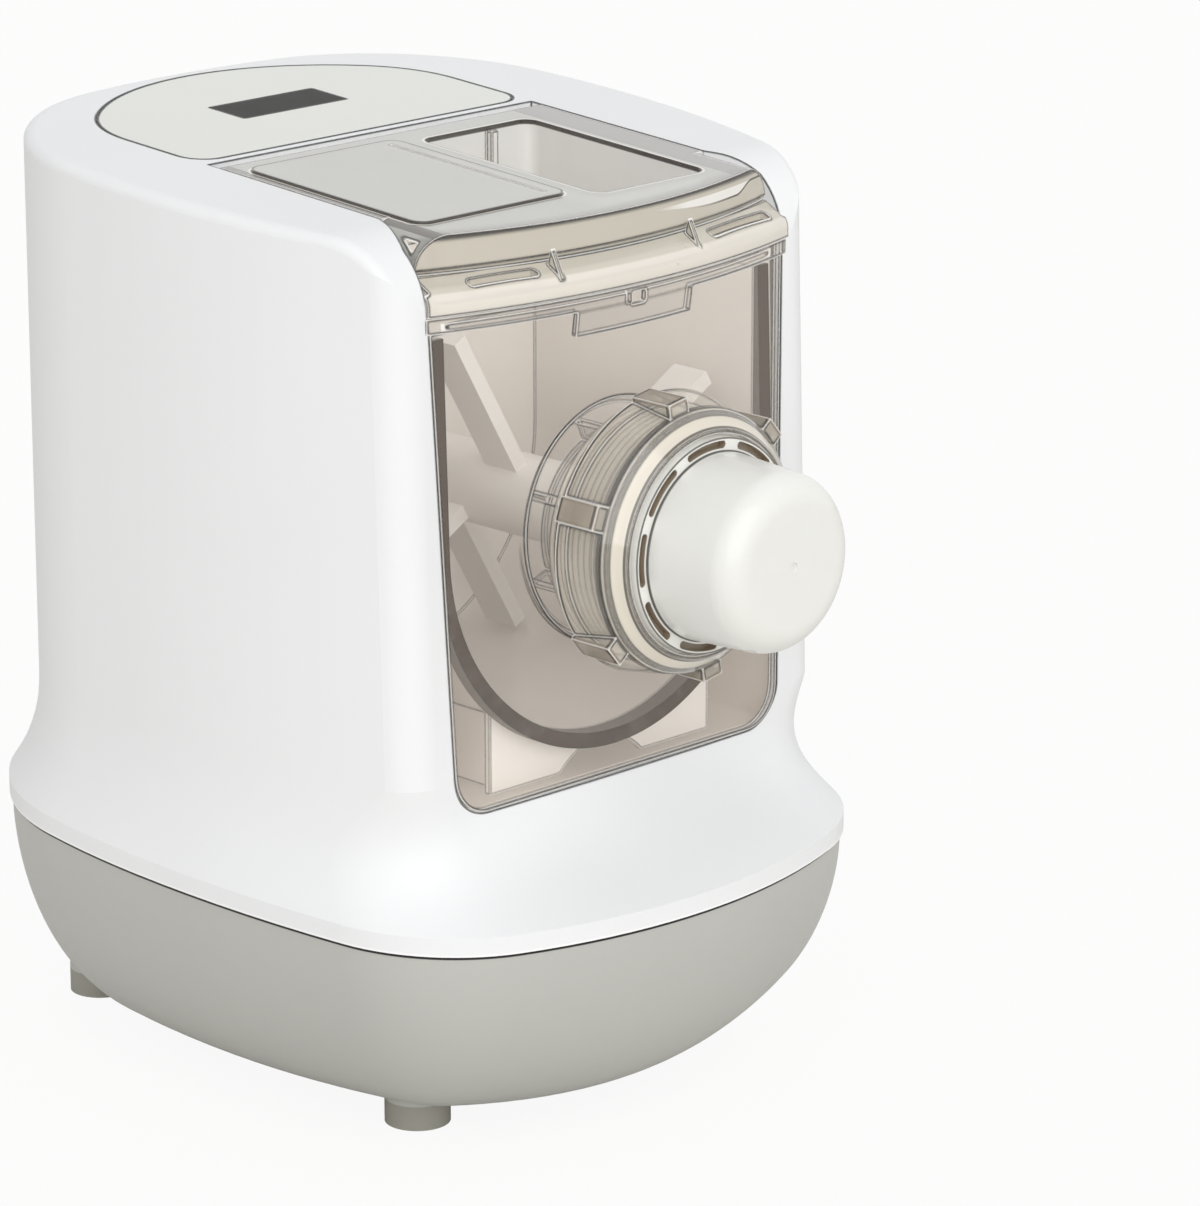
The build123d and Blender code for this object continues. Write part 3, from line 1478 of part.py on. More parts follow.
def gearbox_cover():
    upper, lower = case_screw_centres()
    with BuildPart() as cover:
        extrude(gearbox_outline(face_plane(case_end_y), case_skin), amount=case_cover_thickness)
        for centre in upper + lower:
            add(ring(0, case_ear_radius, case_rear_y, case_end_y, centre))
        for centre in upper + lower:
            add(ring(0, screw_radius, 50, 100, centre), mode=Mode.SUBTRACT)
        add(ring(0, output_journal_radius + journal_gap / 2, 50, 100), mode=Mode.SUBTRACT)
    return cover.part


def gearbox_screws():
    upper, lower = case_screw_centres()
    with BuildPart() as screws:
        for centre in upper:
            add(fastener(centre, case_end_y, case_end_y - bulkhead_front_y - 1))
        for centre in lower:
            add(fastener(centre, case_end_y, 20))
    return screws.part


# ---------------------------------------------------------------- motor


def motor_can():
    rear = case_front_y
    face = rear - motor_face
    inner = motor_radius - motor_wall
    with BuildPart() as can:
        add(turned([(motor_front_y, inner), (motor_front_y, motor_radius), (rear, motor_radius),
                    (rear, bushing_radius), (face, bushing_radius), (face, inner)], motor_axis))
        for centre in ear_centres(motor_screw_turns, motor_axis, motor_screw_circle):
            add(ring(0, screw_radius, 0, 60, centre), mode=Mode.SUBTRACT)
    return can.part


def motor_end_cap():
    front = motor_front_y - end_cap_thickness
    with BuildPart() as cap:
        add(ring(bushing_radius, motor_radius, front, motor_front_y, motor_axis))
        for index in range(6):
            turn = radians(60 * index)
            centre = (motor_axis[0] + 18 * cos(turn), motor_axis[1] + 18 * sin(turn))
            add(ring(0, 5.5, front - 1, motor_front_y + 1, centre), mode=Mode.SUBTRACT)
    return cap.part


def motor_bushings():
    with BuildPart() as bushings:
        bore = motor_shaft_radius + idler_play
        add(ring(bore, bushing_radius, case_front_y - motor_face, case_front_y, motor_axis))
        add(ring(bore, bushing_radius, motor_front_y - end_cap_thickness, motor_front_y, motor_axis))
    return bushings.part


def motor_stator():
    return ring(stator_inner_radius, motor_radius - motor_wall, stator_front_y, stator_rear_y, motor_axis)


def motor_rotor():
    slots = 12
    with BuildPart() as rotor:
        add(ring(motor_shaft_radius, rotor_radius, stator_front_y + rotor_end_gap,
                 stator_rear_y - rotor_end_gap, motor_axis))
        for index in range(slots):
            turn = radians(360 * index / slots)
            centre = (motor_axis[0] + rotor_radius * cos(turn), motor_axis[1] + rotor_radius * sin(turn))
            add(ring(0, 2.0, stator_front_y, stator_rear_y, centre), mode=Mode.SUBTRACT)
    return rotor.part


def motor_shaft():
    return ring(0, motor_shaft_radius, motor_shaft_front_y, layer_a_y + gear_width + 1, motor_axis)


def motor_fan():
    with BuildPart() as fan:
        add(ring(0, fan_hub_radius, fan_front_y, fan_rear_y, motor_axis))
        for index in range(fan_blades):
            turn = radians(360 * index / fan_blades)
            middle = (fan_hub_radius + fan_radius) / 2
            with BuildSketch(face_plane(fan_rear_y)):
                with Locations((motor_axis[0] + middle * cos(turn), motor_axis[1] + middle * sin(turn))):
                    Rectangle(fan_radius - fan_hub_radius + 2, fan_blade_wall, rotation=degrees(turn))
            extrude(amount=fan_rear_y - fan_front_y)
        add(ring(0, motor_shaft_radius, fan_front_y - 1, fan_rear_y + 1, motor_axis), mode=Mode.SUBTRACT)
    return fan.part


def motor_screws():
    with BuildPart() as screws:
        for centre in ear_centres(motor_screw_turns, motor_axis, motor_screw_circle):
            add(fastener(centre, case_front_y + case_wall, case_wall + motor_face))
    return screws.part


def motor_cradle():
    front = cradle_saddles[0]
    rear = cradle_saddles[1] + cradle_saddle_width
    with BuildPart() as cradle:
        add(block(-cradle_half_width, cradle_half_width, front, rear, tray_floor, tray_floor + cradle_foot))
        for start in cradle_saddles:
            with BuildSketch(face_plane(start + cradle_saddle_width)):
                with BuildLine():
                    Polyline((-motor_radius + 3, tray_floor), (motor_radius - 3, tray_floor),
                             (motor_radius - 3, cradle_top), (-motor_radius + 3, cradle_top), close=True)
                make_face()
            extrude(amount=cradle_saddle_width)
        add(ring(0, motor_radius + idler_play, -60, 60, motor_axis), mode=Mode.SUBTRACT)
        for start in cradle_saddles:
            for side in (-1, 1):
                place = (side * cradle_screw_x, start + cradle_saddle_width / 2)
                add(upright_ring(0, screw_radius, 0, tray_floor + cradle_foot + 1, place), mode=Mode.SUBTRACT)
    return cradle.part


def cradle_screws():
    seat = tray_floor + cradle_foot
    with BuildPart() as screws:
        for start in cradle_saddles:
            for side in (-1, 1):
                place = (side * cradle_screw_x, start + cradle_saddle_width / 2)
                add(upright_ring(0, screw_radius, bowl_bottom + 1, seat, place))
                add(upright_ring(0, screw_head_radius, seat, seat + screw_head_height, place))
    return screws.part


# ---------------------------------------------------------------- electronics and power inlet


def power_board():
    return block(-power_board_half_width, power_board_half_width, power_board_front_y, power_board_rear_y,
                 power_board_z, power_board_z + board_thickness)


def board_components():
    """Transformer, capacitors, heat sink and connectors that stand on the power board."""
    base = power_board_z + board_thickness
    with BuildPart() as components:
        add(block(-38, -12, 56, 82, base, base + 15))
        add(block(-4, 0, 54, 84, base, base + 14))
        add(block(14, 34, 82, 90, base, base + 10))
        add(block(28, 40, 54, 66, base, base + 8))
        for place in ((12, 60), (12, 74)):
            add(upright_ring(0, 6, base, base + 14, place))
    return components.part


def power_inlet():
    half = inlet_half_width
    tall = inlet_half_height
    face_y = inlet_seat_y + inlet_flange
    with BuildPart() as inlet:
        add(block(-half, half, inlet_seat_y - inlet_depth, face_y, inlet_z - tall, inlet_z + tall))
        add(block(-inlet_flange_half_width, inlet_flange_half_width, inlet_seat_y, face_y,
                  inlet_z - inlet_flange_half_height, inlet_z + inlet_flange_half_height))
        add(block(-half + 3, half - 3, face_y - 16, face_y, inlet_z - tall + 3, inlet_z + tall - 3),
            mode=Mode.SUBTRACT)
        for x in (-4.3, 4.3):
            add(ring(0, 1.2, face_y - 17, face_y - 3, (x, inlet_z)))
        for side in (-1, 1):
            add(ring(0, screw_radius, inlet_seat_y - 5, face_y, (side * inlet_screw_x, inlet_z)),
                mode=Mode.SUBTRACT)
    return inlet.part


def inlet_screws():
    with BuildPart() as screws:
        for side in (-1, 1):
            add(fastener((side * inlet_screw_x, inlet_z), inlet_seat_y + inlet_flange,
                         inlet_flange + inlet_screw_length))
    return screws.part


os.makedirs("parts", exist_ok=True)
save(housing(), "housing")
save(base_tray(), "base_tray")
save(base_screws(), "base_screws")
for number, place in enumerate(foot_places, 1):
    save(foot(place), f"foot_{number}")
for make in (control_panel, display_window, display_board, display_module, lid, lid_hinge_pins, front_cover,
             cover_gasket, collar_seal, forming_die, locking_nut, mixing_tub, tub_shaft_seal,
             agitator_shaft, extruding_screw, mixing_paddles, inner_frame, bulkhead_seal, frame_screws,
             interlock_plunger, interlock_switch, motor_pinion, idler_gear_1, idler_gear_2, output_gear,
             output_shaft, output_bearing, idler_pins, gearbox_case, gearbox_cover, gearbox_screws,
             motor_can, motor_end_cap, motor_bushings, motor_stator, motor_rotor, motor_shaft, motor_fan,
             motor_screws, motor_cradle, cradle_screws, power_board, board_components, power_inlet,
             inlet_screws):
    save(make(), make.__name__)
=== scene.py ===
"""Finishes, trim and a plain studio for an electric pasta maker.

Lengths are in metres in the machine's own frame: +Z is up, the front faces -Y and the floor is at z = 0.
"""

from math import cos, radians, sin

import bmesh
import bpy
from bpy.props import FloatProperty, FloatVectorProperty, PointerProperty
from mathutils import Matrix, Vector

bl_info = {
    "name": "Pasta Maker Finishes",
    "version": (1, 0, 0),
    "blender": (4, 5, 0),
    "location": "3D View > Sidebar > Pasta Maker",
    "description": "Finishes, trim and studio for an electric pasta maker",
    "category": "Object",
}

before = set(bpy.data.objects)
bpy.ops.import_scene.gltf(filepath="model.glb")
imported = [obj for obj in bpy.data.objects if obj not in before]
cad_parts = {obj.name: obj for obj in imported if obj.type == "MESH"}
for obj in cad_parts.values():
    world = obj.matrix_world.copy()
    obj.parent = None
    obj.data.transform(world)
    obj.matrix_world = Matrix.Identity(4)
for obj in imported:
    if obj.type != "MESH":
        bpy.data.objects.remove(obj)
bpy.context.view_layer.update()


def tone(red, green, blue):
    """A linear colour from the eight-bit values a colour picker shows."""
    shares = (red / 255, green / 255, blue / 255)
    return tuple(s / 12.92 if s < 0.04045 else ((s + 0.055) / 1.055) ** 2.4 for s in shares)


def shade(colour, share):
    """The colour made darker or lighter by this share."""
    return tuple(min(1.0, part * share) for part in colour)


# ---------------------------------------------------------------- places on the machine
# A pair gives the two values between which a mask climbs or falls, or the two ends of a stretch.

WHITE = (1.0, 1.0, 1.0)
# Colours of the painted shade and painted highlight lines along sharp edges; the pale one also paints the
# lid's glint
EDGE_SHADOW = tone(24, 20, 17)
EDGE_LIGHT = tone(248, 245, 240)

# How far the ends of a stretch fade out
SOFT_END = 0.0002

# How sharply a surface turns where an edge's line, and a clear piece's painted shade and painted highlight
# lines, appear
EDGE_TURN = (0.004, 0.030)
SHADE_LINE_TURN = (0.002, 0.006)
HIGHLIGHT_LINE_TURN = (0.110, 0.160)

# How opaque a clear piece's lines are, and how much of the light on it passes through
LINE_OPACITY = 0.9
LIGHT_PASSED = 0.95

# Housing: its openings lie above this height and within this distance of the middle
OPENINGS_FROM = (0.1000, 0.1040)
OPENINGS_WITHIN = (0.0780, 0.0790)

# Where the painted highlight along the housing's lower lip ends, above the seam, and how far the seam's
# shadow fades out
SEAM_LIP_HIGHLIGHT = (0.0003, 0.0009)
SEAM_SOFTNESS = 0.0003

# Lid: seen from above, its front is an arc round this point of the middle line. Its top rises to the rear.
LID_BOW_CENTRE = 0.1319
LID_SLOPE = 0.06

# Lid's top: outlines of the pad and of the basin's mouth, with rounded corners
PAD = {"left": -0.0650, "right": -0.0025, "front": -0.0550, "rear": 0.0240}
BASIN = {"left": 0.0050, "right": 0.0530, "front": -0.0600, "rear": 0.0205}
LID_CORNER = 0.0050

# Lid's top: heights over its slope, above which seams are drawn and below which the basin is pale
LID_TOP = (0.2955, 0.2960)
BASIN_BRIM = (0.2962, 0.2966)
BASIN_MARGIN = 0.0005

# Lid's top: distances outward from an outline, where its painted highlight line and its painted shade line
# lie
SEAM_HIGHLIGHT = (0.0004, 0.0010)
SEAM_SHADE = (-0.0006, 0.0002)

# Lid's top: darker borders, two along X and one by its distance from the bow's centre
LEFT_BORDER = (-0.0690, -0.0655)
RIGHT_BORDER = (0.0555, 0.0690)
FRONT_BORDER = (0.2020, 0.2084)

# Lid's front: distances from the bow's centre
FRONT_FACE = (0.2083, 0.2085)
LIP_FACE = (0.2050, 0.2060)

# Lid's front: heights
LIP_TOP = (0.2767, 0.2775)
BAND_SHADOW = (0.2906, 0.2922)
GLINT_TOP = 0.2900
GLINT_DEPTH = 0.0030
GLINT_SHADE_DEPTH = 0.0004

# Lid's front: places along X where the painted glint grows deeper and thinner again, and where it and the
# painted shade line under it fade in
GLINT_SWELL = (0.0000, 0.0450)
GLINT_TAPER = (0.0560, 0.0660)
GLINT_FADE = (0.0100, 0.0300)
GLINT_SHADE_FADE = (0.0250, 0.0600)

# Nozzle: its axis runs along Y at this height in the middle of the machine
NOZZLE_HEIGHT = 0.1937

# Nozzle: places along Y
THREAD = (-0.1000, -0.0830)
# The rings here and below mark painted shade lines round the nut and the die
NUT_REAR_RING = (-0.0920, -0.0913)
NUT_SHOULDER_RING = (-0.1063, -0.1055)
NUT_CONE = (-0.1072, -0.1068)
NUT_FACE = (-0.1120, -0.1118)
DIE_FACE = (-0.1148, -0.1146)
DIE_NOTCH_FLOOR = (-0.1149, -0.1147)
DIE_CUP = (-0.1160, -0.1155)

# Nozzle: distances from its axis
THREAD_ROOT = (0.0380, 0.0382)
THREAD_CREST = (0.0386, 0.0392)
NUT_LUGS = (0.0447, 0.0450)
NUT_MOUTH_RING = (0.0361, 0.0368)
NUT_MOUTH = (0.0352, 0.0354)
DIE_OUTER_RING = (0.0333, 0.0340)
DIE_NOTCHES = (0.0302, 0.0329)
DIE_INNER_RING = (0.0293, 0.0297)

# Nozzle: how opaque its clear pieces are where more than the plain wall is seen
THREAD_OPACITY = 0.35
RING_OPACITY = 0.9
NUT_OPACITY = 0.75


# ---------------------------------------------------------------- shader expressions


class Field:
    """A shader socket that adds a Math node for each operation on it."""

    def __init__(self, shading, socket):
        self.shading = shading
        self.socket = socket

    def maths(self, operation, *values):
        return self.shading.node("Math", {"operation": operation}, dict(enumerate(values)))

    def __add__(self, other):
        return self.maths("ADD", self, other)

    __radd__ = __add__

    def __sub__(self, other):
        return self.maths("SUBTRACT", self, other)

    def __rsub__(self, other):
        return self.maths("SUBTRACT", other, self)

    def __mul__(self, other):
        return self.maths("MULTIPLY", self, other)

    __rmul__ = __mul__

    def __pow__(self, power):
        return self.maths("POWER", self, power)

    def __abs__(self):
        return self.maths("ABSOLUTE", self)

    def least(self, other):
        return self.maths("MINIMUM", self, other)

    def most(self, other):
        return self.maths("MAXIMUM", self, other)

    def rise(self, low, high):
        """0 below the first value and 1 above the second, with a smooth climb between them."""
        return self.shading.node("MapRange", {"interpolation_type": "SMOOTHSTEP"},
                                 {"Value": self, "From Min": low, "From Max": high})

    def fall(self, low, high):
        """1 below the first value and 0 above the second."""
        return 1.0 - self.rise(low, high)

    def within(self, low, high):
        """1 between these two values, with soft ends."""
        return self.rise(low - SOFT_END, low) * self.fall(high, high + SOFT_END)


def distance(across, along):
    """How far a place is from the point where both of these are 0."""
    return (across * across + along * along) ** 0.5


class Shading:
    """A node tree whose values are written as expressions on sockets."""

    def __init__(self, tree):
        self.tree = tree

    def node(self, kind, settings=None, sockets=None, output=0):
        """Adds a node: its settings, then the values or links of its sockets. Gives one of its outputs."""
        made = self.tree.nodes.new("ShaderNode" + kind)
        for name, value in (settings or {}).items():
            setattr(made, name, value)
        for name, value in (sockets or {}).items():
            self.feed(made.inputs[name], value)
        return Field(self, made.outputs[output])

    def feed(self, socket, value):
        if isinstance(value, Field):
            self.tree.links.new(value.socket, socket)
        elif socket.type == "RGBA":
            socket.default_value = (*value[:3], 1.0)
        else:
            socket.default_value = value

    def rays(self, *kinds):
        """1 for a ray of any of these kinds."""
        found = self.node("LightPath", output=kinds[0])
        for kind in kinds[1:]:
            found = found.most(self.node("LightPath", output=kind))
        return found


class Finish(Shading):
    """A material whose surface is written as expressions on sockets."""

    def __init__(self, name):
        self.material = bpy.data.materials.new(name)
        self.material.use_nodes = True
        super().__init__(self.material.node_tree)
        self.shader = self.tree.nodes["Principled BSDF"]
        self.place = self.node("TexCoord", output="Object")
        self.edge_shade_lines = self.edge_highlights = None

    def surface(self, sockets):
        """Sets or links these sockets of the surface."""
        for name, value in sockets.items():
            self.feed(self.shader.inputs[name], value)

    def fed(self, name):
        """What feeds this socket of the surface so far."""
        return Field(self, self.shader.inputs[name].links[0].from_socket)

    def axis(self, name):
        """The place along this axis."""
        return self.node("SeparateXYZ", sockets={0: self.place}, output=name)

    def noise(self, scale, detail=2.0):
        return self.node("TexNoise", sockets={"Vector": self.place, "Scale": scale, "Detail": detail})

    def mix(self, share, first, second):
        return self.node("Mix", {"data_type": "RGBA"}, {0: share, 6: first, 7: second}, 2)

    def bump(self, height, distance):
        return self.node("Bump", sockets={"Height": height, "Distance": distance, "Strength": 1.0})

    def facing(self, blend):
        return self.node("LayerWeight", sockets={"Blend": blend}, output="Facing")

    def bend(self, radius):
        """How sharply the surface turns within this distance: 0 where it is flat, 0.29 on a square edge."""
        rounded = self.node("Bevel", {"samples": 10}, {"Radius": radius})
        plain = self.node("NewGeometry", output="Normal")
        return 1.0 - self.node("VectorMath", {"operation": "DOT_PRODUCT"}, {0: rounded, 1: plain}, "Value")

    def border(self, left, right, front, rear):
        """Distance outward from a rounded rectangle drawn on the lid's top, negative inside it."""
        across = abs(self.axis("X") - (left + right) / 2) - ((right - left) / 2 - LID_CORNER)
        along = abs(self.axis("Y") - (front + rear) / 2) - ((rear - front) / 2 - LID_CORNER)
        beyond = (across.most(0.0) ** 2 + along.most(0.0) ** 2) ** 0.5
        return beyond + across.most(along).least(0.0) - LID_CORNER

    def from_nozzle_axis(self):
        return distance(self.axis("X"), self.axis("Z") - NOZZLE_HEIGHT)

    def from_bow_centre(self):
        return distance(self.axis("X"), LID_BOW_CENTRE - self.axis("Y"))

    def paint(self, share, colour):
        """Covers this share of the surface's colour with another colour."""
        self.surface({"Base Color": self.mix(share, self.fed("Base Color"), colour)})

    def outline(self, radius, colour, share=1.0):
        """Draws the piece's sharp edges as thin lines of painted shade or painted highlight, in the colour
        given.
        """
        self.paint(share * self.bend(radius).rise(*EDGE_TURN), colour)

    def find_lines(self, radius):
        """Finds where the sharp edges of a clear piece get painted shade, and where they get a painted
        highlight.
        """
        bend = self.bend(radius)
        self.edge_shade_lines = bend.rise(*SHADE_LINE_TURN)
        self.edge_highlights = bend.rise(*HIGHLIGHT_LINE_TURN)

    def draw_lines(self):
        """Paints the shade and highlight lines along the sharp edges of a clear piece, over its other
        colours.
        """
        self.paint(self.edge_shade_lines, EDGE_SHADOW)
        self.paint(self.edge_highlights, EDGE_LIGHT)


def moulded(name, colour, roughness=0.4, grain=2400.0, depth=0.00001, cloud=0.03, coat=0.0):
    """Moulded plastic: a faint cloudiness, a fine grain and an uneven gloss."""
    finish = Finish(name)
    patches = finish.noise(scale=22.0, detail=3.0)
    fine = finish.noise(scale=grain, detail=1.0)
    finish.surface({
        "Base Color": finish.mix(patches, shade(colour, 1 - cloud), shade(colour, 1 + cloud)),
        "Roughness": roughness + 0.08 * (finish.noise(scale=140.0) - 0.5),
        "Normal": finish.bump(fine, distance=depth),
        "Coat Weight": coat * finish.noise(scale=60.0).rise(0.1, 0.5),
        "Coat Roughness": 0.12,
    })
    return finish


def metal(name, colour, roughness=0.3, stretch=(1.0, 1.0, 1.0), scale=900.0):
    """Drawn or turned metal with fine tool marks along one way."""
    finish = Finish(name)
    along = finish.node("Mapping", sockets={"Vector": finish.place, "Scale": stretch})
    marks = finish.node("TexNoise", sockets={"Vector": along, "Scale": scale, "Detail": 2.0})
    finish.surface({
        "Base Color": finish.mix(marks, shade(colour, 0.85), shade(colour, 1.1)),
        "Metallic": 1.0,
        "Roughness": roughness + 0.2 * (marks - 0.5),
        "Normal": finish.bump(marks, distance=0.00002),
    })
    return finish


def see_through(name, colour, flat, edge, roughness=0.08, line=0.0014):
    """Clear plastic: as opaque as flat where it is seen square on, and as edge at its rim.

    Each sharp edge is a painted highlight line between two painted shade lines, and light passes through to
    what lies behind.
    """
    finish = Finish(name)
    rim = finish.facing(blend=0.35) ** 1.5
    streaks = finish.noise(scale=30.0)
    finish.find_lines(line)
    lit = 1.0 - LIGHT_PASSED * finish.rays("Is Shadow Ray", "Is Diffuse Ray")
    finish.surface({
        "Base Color": finish.mix(streaks, shade(colour, 0.97), shade(colour, 1.03)),
        "Roughness": roughness + 0.04 * streaks,
        "Alpha": lit * (flat + (edge - flat) * rim).most(LINE_OPACITY * finish.edge_shade_lines),
        "Coat Weight": 0.5 + 0.3 * streaks,
        "Coat Roughness": 0.03,
        "Normal": finish.bump(finish.noise(scale=55.0, detail=1.0), distance=0.00002),
    })
    finish.draw_lines()
    return finish


def dress(finish, *nodes):
    """Gives a finish to these nodes of the machine."""
    for name in nodes:
        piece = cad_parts[name]
        piece.data.materials.clear()
        piece.data.materials.append(finish.material)


# ---------------------------------------------------------------- settings


def colour_property(name, description, default):
    return FloatVectorProperty(name=name, description=description, default=default, subtype="COLOR",
                               min=0.0, max=1.0)


def length_property(name, description, default):
    return FloatProperty(name=name, description=description, default=default, subtype="DISTANCE",
                         unit="LENGTH", precision=5)


class CasingSettings(bpy.types.PropertyGroup):
    shell: colour_property("Shell", "White of the housing", tone(238, 239, 240))
    # Painted highlight along the housing's lower lip, just above the seam
    shell_lip_highlight: colour_property("Shell edge", "Bright lower lip of the housing", tone(252, 252, 252))
    base: colour_property("Base", "Warm grey of the base tray", tone(188, 188, 183))
    seam: colour_property("Seam", "Shadow in the seam over the base", tone(16, 15, 14))
    feet: colour_property("Feet", "Rubber feet", tone(160, 158, 148))
    panel: colour_property("Panel", "Face of the control panel", tone(232, 233, 228))
    display: colour_property("Display", "Dark display window", tone(44, 45, 42))
    # Painted highlight along the display window's sharp edges
    display_edge_highlight: colour_property("Display edge", "Paler edge of the display window", tone(96, 97, 92))
    seam_height: length_property("Seam height", "Height of the seam in the middle of the machine", 0.0794)
    seam_slope: FloatProperty(name="Seam slope", description="Rise of the seam towards the rear",
                              default=0.03)
    seam_line: length_property("Seam line", "Height of the dark line under the seam", 0.0011)


class ClearSettings(bpy.types.PropertyGroup):
    lid: colour_property("Lid", "Smoky plastic of the lid", tone(180, 180, 174))
    basin: colour_property("Basin", "Inside of the lid's basin", tone(236, 234, 230))
    rim: colour_property("Rim", "Dark border of the lid", tone(116, 112, 107))
    rim_shadow: colour_property("Rim shadow", "Shadow along the top of the lid's front", tone(62, 57, 52))
    band: colour_property("Band", "Warm band across the lid's front", tone(205, 198, 184))
    # Also the painted highlight line round the pad and the basin's mouth; on the lip it is partly a painted
    # highlight
    lip: colour_property("Lip", "Bright lip under the lid's front", tone(229, 223, 213))
    cover: colour_property("Cover", "Clear plastic of the front cover", tone(244, 235, 225))
    gasket: colour_property("Gasket", "Brown seal behind the cover", tone(52, 30, 12))
    nut: colour_property("Nut", "Clear plastic of the locking nut", tone(243, 235, 220))
    lugs: colour_property("Lugs", "Grip lugs of the locking nut", tone(150, 136, 120))
    thread: colour_property("Thread", "Shadow between the rings of the thread", tone(128, 112, 92))
    die: colour_property("Die", "Milky plastic of the forming die", tone(236, 236, 231))
    # Painted shade lines round the nut's rings and at the edges of the die's ring
    seam: colour_property("Ring lines", "Dark lines round the nut and the die", tone(70, 64, 58))
    slots: colour_property("Slots", "Shadow in the die's notches", tone(160, 146, 128))
    tub: colour_property("Tub", "Plastic of the mixing tub", tone(250, 242, 233))


class StudioSettings(bpy.types.PropertyGroup):
    azimuth: FloatProperty(name="Azimuth", description="Turn of the camera round the machine",
                           default=radians(-44.85), subtype="ANGLE")
    elevation: FloatProperty(name="Elevation", description="Camera's height over the horizon",
                             default=radians(16.58), subtype="ANGLE")
    distance: length_property("Distance", "From the camera to the place it looks at", 1.8)
    lens: FloatProperty(name="Lens", description="Focal length in millimetres", default=168.2, unit="CAMERA")
    world: FloatProperty(name="World", description="Strength of the soft light all round", default=0.62)
    key: FloatProperty(name="Key", description="Strength of the broad lamp at the front left", default=1.6)
    fill: FloatProperty(name="Fill", description="Strength of the broad lamp at the right", default=0.15)
    bleach: FloatProperty(name="Floor white", description="Share of plain white in the floor as it is seen",
                          default=0.92, min=0.0, max=1.0, subtype="FACTOR")


# ---------------------------------------------------------------- pieces


class FinishCasing(bpy.types.Operator):
    """Finish the housing, base, feet, control panel and display"""

    bl_idname = "pasta.finish_casing"
    bl_label = "Finish Casing"

    def execute(self, context):
        look = context.scene.pasta_casing
        self.finish_shell(look)
        self.finish_base(look)
        feet = moulded("foot_rubber", look.feet, roughness=0.75, grain=1600.0, depth=0.00003, cloud=0.05)
        dress(feet, "foot_1", "foot_2", "foot_3", "foot_4")

        panel = moulded("panel_face", look.panel, roughness=0.5, grain=3200.0, depth=0.000005, cloud=0.01)
        panel.surface({"Specular IOR Level": 0.25})
        # Painted shade line along the panel's sharp edges, in the gap round it
        panel.outline(radius=0.0018, colour=look.seam, share=0.98)
        dress(panel, "control_panel")

        window = moulded("display_window", look.display, roughness=0.3, grain=3000.0, depth=0.000001,
                         cloud=0.05)
        window.surface({"Specular IOR Level": 0.02})
        # Painted highlight along the display window's sharp edges
        window.outline(radius=0.0007, colour=look.display_edge_highlight)
        dress(window, "display_window")
        return {"FINISHED"}

    def height_over_slope(self, finish, look):
        """Height, measured along the seam's slope towards the rear."""
        return finish.axis("Z") - look.seam_slope * finish.axis("Y")

    def finish_shell(self, look):
        """The housing: a painted highlight along its lower lip over the seam, and thin painted shade lines
        round its openings.
        """
        shell = moulded("white_shell", look.shell, roughness=0.46, depth=0.000006, cloud=0.012)
        shell.surface({"Specular IOR Level": 0.25})
        height = self.height_over_slope(shell, look)
        low, high = SEAM_LIP_HIGHLIGHT
        # Painted highlight along the housing's lower lip, just above the seam
        shell.paint(height.fall(look.seam_height + low, look.seam_height + high), look.shell_lip_highlight)
        openings = shell.axis("Z").rise(*OPENINGS_FROM) * abs(shell.axis("X")).fall(*OPENINGS_WITHIN)
        # Painted shade lines along the sharp edges round the housing's openings
        shell.outline(radius=0.0012, colour=look.seam, share=0.9 * openings)
        dress(shell, "housing")

    def finish_base(self, look):
        """The base tray, with the seam's shadow along its top."""
        base = moulded("grey_base", look.base, roughness=0.42, cloud=0.02, coat=0.1)
        height = self.height_over_slope(base, look)
        line_foot = look.seam_height - look.seam_line
        base.paint(height.rise(line_foot - SEAM_SOFTNESS, line_foot), look.seam)
        dress(base, "base_tray")


